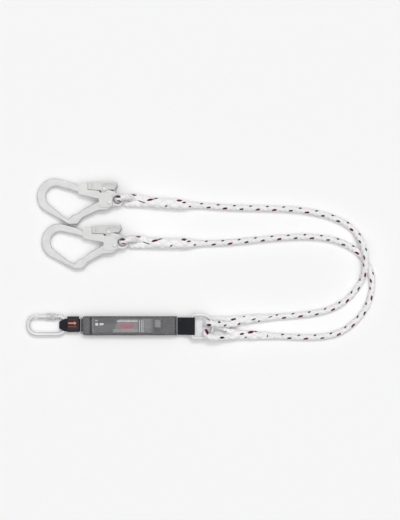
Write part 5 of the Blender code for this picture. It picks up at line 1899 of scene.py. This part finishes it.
@dataclass
class Ring:
    """D-ring bent from one bar."""

    steel: bpy.types.Material
    bar: float = 8 * MM
    inner_width: float = 49.8 * MM
    leg_length: float = 22.5 * MM
    corner: float = 6 * MM
    bar_x: float = 154.5 * MM
    centre_y: float = -2.2 * MM
    level: float = 20.6 * MM

    def build(self) -> None:
        """Build the ring on the ropes' body."""
        radius = (self.inner_width + self.bar) / 2
        bow_x = self.bar_x + self.leg_length
        flat = rounded([(self.bar_x, self.centre_y + radius, self.corner),
                        (self.bar_x, self.centre_y - radius, self.corner),
                        (bow_x, self.centre_y - radius), (bow_x, self.centre_y + radius)], 8)
        flat = flat[:-2] + arc((bow_x, self.centre_y), radius, -90, 90, 44)
        route = Route([Vector((x, y, self.level)) for x, y in flat], closed=True)
        piece = placed("d_ring_bent_bar", sweep(route, 28, disc(self.bar / 2)), self.steel)
        carry(piece, "ropes", "bright_steel", "d_ring")


# Absorber pack


@dataclass
class Pack:
    """Energy absorber: folded tear webbing, label, clear cover, and the two webbing loops."""

    webbing_finish: bpy.types.Material
    tear_finish: bpy.types.Material
    label_finish: bpy.types.Material
    film_finish: bpy.types.Material
    tag_finish: bpy.types.Material
    thread_finish: bpy.types.Material
    left: float = -123.8 * MM
    right: float = 117.5 * MM
    width: float = 48 * MM
    height: float = 28 * MM
    corner: float = 6.5 * MM
    film: float = 0.5 * MM
    flare: float = 12 * MM
    mouth_width: float = 41 * MM
    mouth_height: float = 19 * MM
    end_room: float = 6.5 * MM
    label_left: float = -94 * MM
    label_right: float = 82 * MM
    tear_layers: int = 8
    tear_thickness: float = 2.2 * MM
    webbing: float = 2.5 * MM
    webbing_gap: float = 0.5 * MM
    ring_loop_width: float = 43.8 * MM
    ring_loop_y: float = -1.0 * MM
    ring_bar: float = Ring.bar
    ring_bar_x: float = Ring.bar_x
    ring_level: float = Ring.level
    harness_loop_width: float = 32 * MM
    harness_loop_y: float = 1.6 * MM
    harness_loop_left: float = -177.8 * MM
    harness_loop_gap: float = 1.3 * MM
    harness_loop_room: float = 0.8 * MM
    harness_chamfer: float = 8 * MM
    harness_taper: float = 0.55
    karabiner_rod: float = Karabiner.rod
    karabiner_level: float = Karabiner.level
    karabiner_end: float = -154.75 * MM
    tag_left: float = -156.8 * MM
    tag_right: float = -127.5 * MM
    tag_width: float = 38.4 * MM
    tag_y: float = 3.7 * MM

    def harness_top(self) -> float:
        """Height of the harness loop's upper face."""
        return self.karabiner_level + self.karabiner_rod / 2 + self.harness_loop_room + self.webbing

    def section(self, width: float, height: float, corner: float) -> list[Flat]:
        """Rounded rectangle in YZ that stands on zero, as 72 points from the top's middle.

        Args:
            width: Its width.
            height: Its height.
            corner: Radius of its corners.

        Returns:
            The points.
        """
        side = width / 2
        flat = side - corner
        high = height - corner
        points = run((0, height), (flat, height), 8)
        points += arc((flat, high), corner, 90, 0, 8)[:-1]
        points += run((side, high), (side, corner), 4)
        points += arc((flat, corner), corner, 0, -90, 8)[:-1]
        points += run((flat, 0), (-flat, 0), 16)
        points += arc((-flat, corner), corner, -90, -180, 8)[:-1]
        points += run((-side, corner), (-side, high), 4)
        points += arc((-flat, high), corner, 180, 90, 8)[:-1]
        return points + run((-flat, height), (0, height), 8)

    def cover(self) -> bpy.types.Object:
        """Clear film shrunk round the pack, puckered at its two open ends."""
        route = Route(straight((self.left, 0, 0), (self.right, 0, 0), 110))
        count = len(self.section(self.width, self.height, self.corner))

        def place(reach: float, share: float) -> tuple[float, float]:
            """Point of the film."""
            near_left = ease(1 - reach / self.flare)
            near_right = ease(1 - (self.right - self.left - reach) / self.flare)
            drawn = max(near_left, near_right)
            width = self.width - (self.width - self.mouth_width) * near_left
            height = self.height - (self.height - self.mouth_height) * drawn
            corner = self.corner * (1 - 0.3 * drawn)
            lift = (self.height - height) / 2
            step = round(share * count) % count
            y, z = self.section(width, height, corner)[step]
            spot = Vector((reach, y, z)) * 55
            wrinkle = noise.noise(Vector((spot.x * 0.4, spot.y, spot.z))) * 0.5 * MM
            pucker = math.sin(2 * math.pi * share * 17) * 0.45 * MM * drawn
            inward = wrinkle - 0.35 * MM + pucker
            centre = height / 2
            scale_y = 1 + (inward / (width / 2))
            scale_z = 1 + (inward / centre)
            return y * scale_y, centre + (z - centre) * scale_z + lift

        work = sweep_open(route, count, place)
        piece = placed("absorber_cover_film", work, self.film_finish, sharp=80)
        return walled(piece, self.film)

    def tear_stack(self) -> bpy.types.Object:
        """Tear webbing folded to and fro inside the cover."""
        half = self.tear_thickness / 2
        low = 1.5 * MM
        high = self.height - 2.2 * MM
        pitch = (high - low - self.tear_thickness) / (self.tear_layers - 1)
        start = self.left + self.end_room + 3 * MM
        end = self.right - self.end_room - 3 * MM
        line: list[Vector] = []
        for layer in range(self.tear_layers):
            level = low + half + pitch * layer
            first, last, sign = (start, end, 1) if layer % 2 == 0 else (end, start, -1)
            line += straight((first, 0, level), (last, 0, level), 24)
            if layer < self.tear_layers - 1:
                for turn in map(math.radians, (-60, -30, 0, 30, 60)):
                    line.append(Vector((last + sign * pitch * 0.8 * math.cos(turn), 0,
                                        level + pitch / 2 + pitch / 2 * math.sin(turn))))
        route = Route(line)
        middle = self.height / 2

        def width(reach: float) -> float:
            """Width of the tape at a distance along it, less where the cover's corners are round."""
            side = abs(route.spots[route.nearest(reach)].z - middle) / middle
            return 44 * MM - 5.5 * MM * side ** 5

        around, place = band(width, self.tear_thickness, 3, 8)
        return placed("absorber_tear_folds", sweep(route, around, place, Chart.ACROSS),
                      self.tear_finish)

    def label(self) -> bpy.types.Object:
        """Printed film on the folds, its long edges turned down a little."""
        work = bmesh.new()
        bmesh.ops.create_grid(work, x_segments=60, y_segments=16, size=0.5)
        length = self.label_right - self.label_left
        wide = self.width - 2 * self.corner
        for vert in work.verts:
            x = self.label_left + (vert.co.x + 0.5) * length
            y = vert.co.y * wide
            droop = 0.5 * MM * max(0.0, abs(vert.co.y) * 2 - 0.75) ** 1.5
            wave = noise.noise(Vector((x * 40, y * 40, 0))) * 0.12 * MM
            vert.co = Vector((x, y, self.height - 1.5 * MM - droop + wave))
        return walled(placed("absorber_label_print", work, self.label_finish), 0.3 * MM)

    def ring_loop_line(self) -> list[Vector]:
        """Side view of the ring loop: out of the pack, round the ring's bar and back."""
        start = self.right - self.end_room + CLEARANCE
        layer = (self.webbing + self.webbing_gap) / 2
        middle = self.height / 2
        radius = self.ring_bar / 2 + CLEARANCE + self.webbing / 2
        merge = self.ring_bar_x - 2.6 * radius
        rise = self.ring_level - middle
        lift = rise / 2
        out = [(start, layer), (merge - 9 * MM, layer), (merge, lift + layer + 0.2 * radius),
               (self.ring_bar_x - 0.7 * radius, rise + 0.96 * radius)]
        back = [(self.ring_bar_x - 0.7 * radius, rise - 0.96 * radius),
                (merge, lift - layer - 0.2 * radius), (merge - 9 * MM, -layer), (start, -layer)]
        turn = arc((self.ring_bar_x, rise), radius, 90, -90, 10)
        return [Vector((x, 0, middle + z)) for x, z in out + turn + back]

    def harness_loop_line(self) -> list[Vector]:
        """Side view of the harness loop: flat on top, and round the end of the karabiner."""
        start = self.left + self.end_room - CLEARANCE
        radius = self.karabiner_rod / 2 + self.harness_loop_room + self.webbing / 2
        left = self.harness_loop_left + self.webbing / 2 + radius
        low = self.karabiner_level - radius
        inner = self.karabiner_level + radius - self.webbing - self.harness_loop_gap
        turn = arc((left, self.karabiner_level), radius, 90, 270, 14)
        end = self.karabiner_end
        rise = [(end - 4 * MM, low), (end + 1.5 * MM, low + 2.2 * MM),
                (end + 8 * MM, inner - 1.5 * MM), (end + 13 * MM, inner)]
        full = self.harness_loop_left + self.harness_chamfer / self.harness_taper
        high = self.karabiner_level + radius
        top = [(start, high), ((start + full) / 2, high), (full, high)]
        line = top + turn + [(full, low)] + rise + [(start, inner)]
        return [Vector((x, 0, z)) for x, z in line]

    def loop(self, name: str, points: Sequence[Vector], centre_y: float,
             half_width: Callable[[float], float]) -> bpy.types.Object:
        """Woven tape along a side view.

        Args:
            name: Name of the piece.
            points: The side view.
            centre_y: Where its middle lies across.
            half_width: Half of its width, from the place along X.

        Returns:
            The tape.
        """
        line = smooth_curve(points, 6)
        path = stretch(line, 0, line_length(line), 1.6 * MM)
        route = Route([spot + Vector((0, centre_y, 0)) for spot in path])

        def width(reach: float) -> float:
            """Width at a distance along the tape."""
            return 2 * half_width(route.spots[route.nearest(reach)].x)

        around, place = band(width, self.webbing)
        return placed(name, sweep(route, around, place, Chart.ACROSS), self.webbing_finish)

    def stitches(self, name: str, rows: Sequence[tuple[Vector, Vector]],
                 length: float = 3.4 * MM) -> bpy.types.Object:
        """Rows of raised stitches on a face that looks up.

        Args:
            name: Name of the piece.
            rows: First and last point of each row.
            length: Length of one stitch and the gap after it.

        Returns:
            The stitches as one piece.
        """
        works = []
        for start, end in rows:
            count = max(1, round((end - start).length / length))
            for index in range(count):
                first = start.lerp(end, (index + 0.12) / count)
                last = start.lerp(end, (index + 0.88) / count)
                sink = Vector((0, 0, -0.4 * MM))
                line = [first + sink, first.lerp(last, 0.25), first.lerp(last, 0.75), last + sink]
                works.append(sweep(Route(line), 6, disc(0.42 * MM)))
        return placed(name, merged(works), self.thread_finish, sharp=80)

    def tag(self) -> bpy.types.Object:
        """Cloth tag sewn to a sleeve round the upper layer of the harness loop."""
        level = self.harness_top() - self.webbing / 2
        tall = self.webbing / 2 + CLEARANCE + 0.3 * MM
        half = self.tag_width / 2 - 0.3 * MM
        edge = [(tall * 0.3 * math.sin(a), tall * math.cos(a))
                for a in (math.pi * step / 8 for step in range(8))]
        shape = run((half, tall), (-half, tall), 20) + [(-half - out, up) for out, up in edge]
        shape += run((-half, -tall), (half, -tall), 20) + [(half + out, -up) for out, up in edge]

        def place(reach: float, share: float) -> tuple[float, float]:
            """Point of the tag's cloth."""
            side, up = shape[round(share * len(shape)) % len(shape)]
            ripple = noise.noise(Vector((reach * 90, side * 90, up * 300))) * 0.12 * MM
            return side, up + ripple

        route = Route(straight((self.tag_left, self.tag_y, level),
                               (self.tag_right, self.tag_y, level), 24))
        work = sweep_open(route, len(shape), place)
        return walled(placed("harness_loop_tag_cloth", work, self.tag_finish), 0.55 * MM, 0)

    def across_rows(self, left: float, right: float, level: float,
                    places: Sequence[float]) -> list[tuple[Vector, Vector]]:
        """Rows of stitches along X between two places, one for each place along Y."""
        return [(Vector((left, y, level)), Vector((right, y, level))) for y in places]

    def build(self) -> None:
        """Build the pack and its loops on the absorber's body."""
        top = self.harness_top()

        def tapered(x: float) -> float:
            """Half width of the harness loop."""
            cut = self.harness_chamfer - self.harness_taper * (x - self.harness_loop_left)
            return self.harness_loop_width / 2 - max(0.0, cut)

        ring_rows = self.across_rows(
            119 * MM, 128 * MM, self.height / 2 + self.webbing_gap / 2 + self.webbing + 0.1 * MM,
            [self.ring_loop_y + off * MM for off in (-18, -14, 14, 18)])
        harness_rows = self.across_rows(-168 * MM, -158 * MM, top,
                                        [self.harness_loop_y + off * MM for off in (-9, 9)])
        outline = [Vector((x, y, top + CLEARANCE + 0.7 * MM)) for x, y in (
            (self.tag_left + 2.2 * MM, self.tag_y - 16.6 * MM),
            (self.tag_right - 2.2 * MM, self.tag_y - 16.6 * MM),
            (self.tag_right - 2.2 * MM, self.tag_y + 16.6 * MM),
            (self.tag_left + 2.2 * MM, self.tag_y + 16.6 * MM))]
        tag_rows = list(zip(outline, outline[1:] + outline[:1]))
        for piece, slot, node in (
                (self.cover(), "clear_film", "absorber_cover"),
                (self.tear_stack(), "tear_webbing", "absorber_tear_webbing"),
                (self.label(), "printed_label", "absorber_label"),
                (self.loop("ring_loop_tape", self.ring_loop_line(), self.ring_loop_y,
                           lambda _x: self.ring_loop_width / 2), "black_webbing", "ring_loop"),
                (self.loop("harness_loop_tape", self.harness_loop_line(), self.harness_loop_y,
                           tapered), "black_webbing", "harness_loop"),
                (self.tag(), "tag_cloth", "harness_loop_tag"),
                (self.stitches("ring_loop_stitching", ring_rows), "black_webbing", None),
                (self.stitches("harness_loop_stitching", harness_rows), "black_webbing", None),
                (self.stitches("tag_stitching", tag_rows, 2.9 * MM), "tag_cloth", None)):
            carry(piece, "absorber", slot, node)


# Putting together


def carry(piece: bpy.types.Object, body: str, slot: str, node: Optional[str] = None) -> None:
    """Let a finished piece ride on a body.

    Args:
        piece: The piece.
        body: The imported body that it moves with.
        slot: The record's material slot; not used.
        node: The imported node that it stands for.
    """
    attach(piece, body)
    if node is not None:
        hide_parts(node)
    LOG.info("%s on %s: %d faces", piece.name, body, len(piece.data.polygons))


def dress(node: bpy.types.Object, finish: bpy.types.Material) -> None:
    """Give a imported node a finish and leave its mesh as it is."""
    node.data.materials.clear()
    node.data.materials.append(finish)


@dataclass
class Studio:
    """Pale table, soft light and the camera straight above."""

    centre: tuple[float, float] = (173.75 * MM, 163.75 * MM)
    view_height: float = 1.3
    lens: float = 135.0
    sensor: float = 36.0
    sky: tuple[float, float, float, float] = (3.5, 0.05, 2.08, 0.0)
    mirrored: tuple[float, float, float, float] = (2.5, 0.64, 1.38, math.radians(30))
    lamp: float = 0.76
    lamp_lean: float = math.radians(25)
    lamp_turn: float = math.radians(-18)
    lamp_angle: float = math.radians(14)

    def table(self) -> None:
        """Build the table top."""
        work = bmesh.new()
        bmesh.ops.create_grid(work, x_segments=2, y_segments=2, size=12.0)
        floor = placed("pale_table_top", work, FloorFinish().material())

    def world(self) -> None:
        """Pale surroundings, brightest overhead; what metal mirrors is more even."""
        shading = Shading("studio_surroundings", surroundings=True)
        place = shading.node("ShaderNodeTexCoord", output="Generated")
        levels = []
        for power, low, high, lean in (self.sky, self.mirrored):
            towards = shading.node("ShaderNodeVectorMath", {"operation": "DOT_PRODUCT"},
                                   {0: place, 1: self.aim(lean)}, "Value")
            curve = shading.node("ShaderNodeMath", {"operation": "POWER", "use_clamp": True},
                                 {0: towards, 1: power})
            levels.append(shading.node("ShaderNodeMapRange", {},
                                       {"Value": curve, "To Min": low, "To Max": high}))
        glossy = shading.node("ShaderNodeLightPath", output="Is Glossy Ray")
        direct = shading.node("ShaderNodeLightPath", output="Is Camera Ray")
        blend = shading.node("ShaderNodeMix", {"data_type": "FLOAT"},
                             {0: glossy, 2: levels[0], 3: levels[1]})
        seen = shading.node("ShaderNodeMix", {"data_type": "FLOAT"}, {0: direct, 2: blend, 3: 1.0})
        bpy.context.scene.world = shading.finish(Color=(1.0, 1.0, 1.0), Strength=seen)

    def aim(self, lean: float) -> Vector:
        """Direction towards the lamp's side at a lean from straight up."""
        turn = Matrix.Rotation(self.lamp_turn, 3, "Z") @ Matrix.Rotation(-lean, 3, "X")
        return turn @ Vector((0, 0, 1))

    def lights(self) -> None:
        """One broad soft lamp from the far right of the table."""
        lamp = bpy.data.lights.new("soft_lamp", "SUN")
        lamp.energy = self.lamp
        lamp.angle = self.lamp_angle
        holder = bpy.data.objects.new("soft_lamp", lamp)
        holder.rotation_euler = (-self.lamp_lean, 0, self.lamp_turn)
        holder.visible_glossy = False
        bpy.context.scene.collection.objects.link(holder)

    def camera(self) -> None:
        """Long lens straight above, the view's top towards +Y."""
        data = bpy.data.cameras.new("camera_above")
        data.lens = self.lens
        data.sensor_width = self.sensor
        data.sensor_height = self.sensor
        data.sensor_fit = "VERTICAL"
        data.clip_end = 30.0
        holder = bpy.data.objects.new("camera_above", data)
        holder.location = (*self.centre, self.view_height * self.lens / self.sensor)
        bpy.context.scene.collection.objects.link(holder)
        bpy.context.scene.camera = holder

    def build(self) -> None:
        """Build the whole setting."""
        self.table()
        self.world()
        self.lights()
        self.camera()
        bpy.context.scene.view_settings.view_transform = "Standard"


def main() -> None:
    """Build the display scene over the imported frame."""
    logging.basicConfig(level=logging.INFO, format="%(name)s: %(message)s")
    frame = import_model()
    nodes = frame["nodes"]
    steel = MetalFinish("zinc_plated_steel", (0.78, 0.78, 0.775), 0.3, grain=700).material()
    sleeve_steel = MetalFinish("passivated_sleeve_steel", (0.70, 0.70, 0.675), 0.48).material()
    spring_steel = MetalFinish("drawn_spring_steel", (0.5, 0.5, 0.51), 0.3).material()
    forged = MetalFinish("satin_forged_steel", (0.75, 0.75, 0.752), 0.38, grain=1300,
                         grain_depth=0.03 * MM, side_shade=0.85).material()
    pressed = MetalFinish("satin_pressed_steel", (0.745, 0.742, 0.737), 0.35, grain=1600,
                          grain_depth=0.02 * MM, stretch=(4.0, 1.0, 1.0), side_shade=0.8).material()
    plated = MetalFinish("zinc_plated_pressing", (0.67, 0.672, 0.655), 0.33, grain=1600,
                         grain_depth=0.02 * MM, stretch=(4.0, 1.0, 1.0), side_shade=0.85).material()
    webbing = WebbingFinish("black_loop_webbing", (0.0085, 0.010, 0.0135)).material()
    tear = WebbingFinish("grey_tear_webbing", (0.115, 0.115, 0.12), contrast=0.5).material()
    label = LabelFinish("printed_label_film", Pack.label_left, Pack.label_right).material()
    film = FilmFinish("clear_shrink_film", Pack.left, Pack.right, Pack.width / 2,
                      -98 * MM).material()
    tag = TagFinish("tag_cloth", -154.8 * MM, -133.5 * MM, 6.4 * MM, 18.5 * MM).material()
    thread = ThreadFinish("black_thread", (0.05, 0.05, 0.055)).material()

    Karabiner(steel, sleeve_steel, spring_steel).build(nodes)
    metals = (forged, pressed, plated, steel, spring_steel)
    hooks = (Hook("upper", (-31.3 * MM, 313.8 * MM), 0.0, *metals),
             Hook("lower", (-19.6 * MM, 207.8 * MM), math.radians(2.5), *metals))
    for hook in hooks:
        hook.build(nodes)
    ropes = Ropes()
    rope = ropes.finish("three_strand_rope")
    ropes.leg("upper", hooks[0], UPPER_ROUTE, UPPER_RING_EYE, UPPER_RING_STREAKS, rope)
    ropes.leg("lower", hooks[1], LOWER_ROUTE, LOWER_RING_EYE, LOWER_RING_STREAKS, rope)
    Ring(steel).build()
    Pack(webbing, tear, label, film, tag, thread).build()
    Studio().build()


if __name__ == "__main__":
    main()
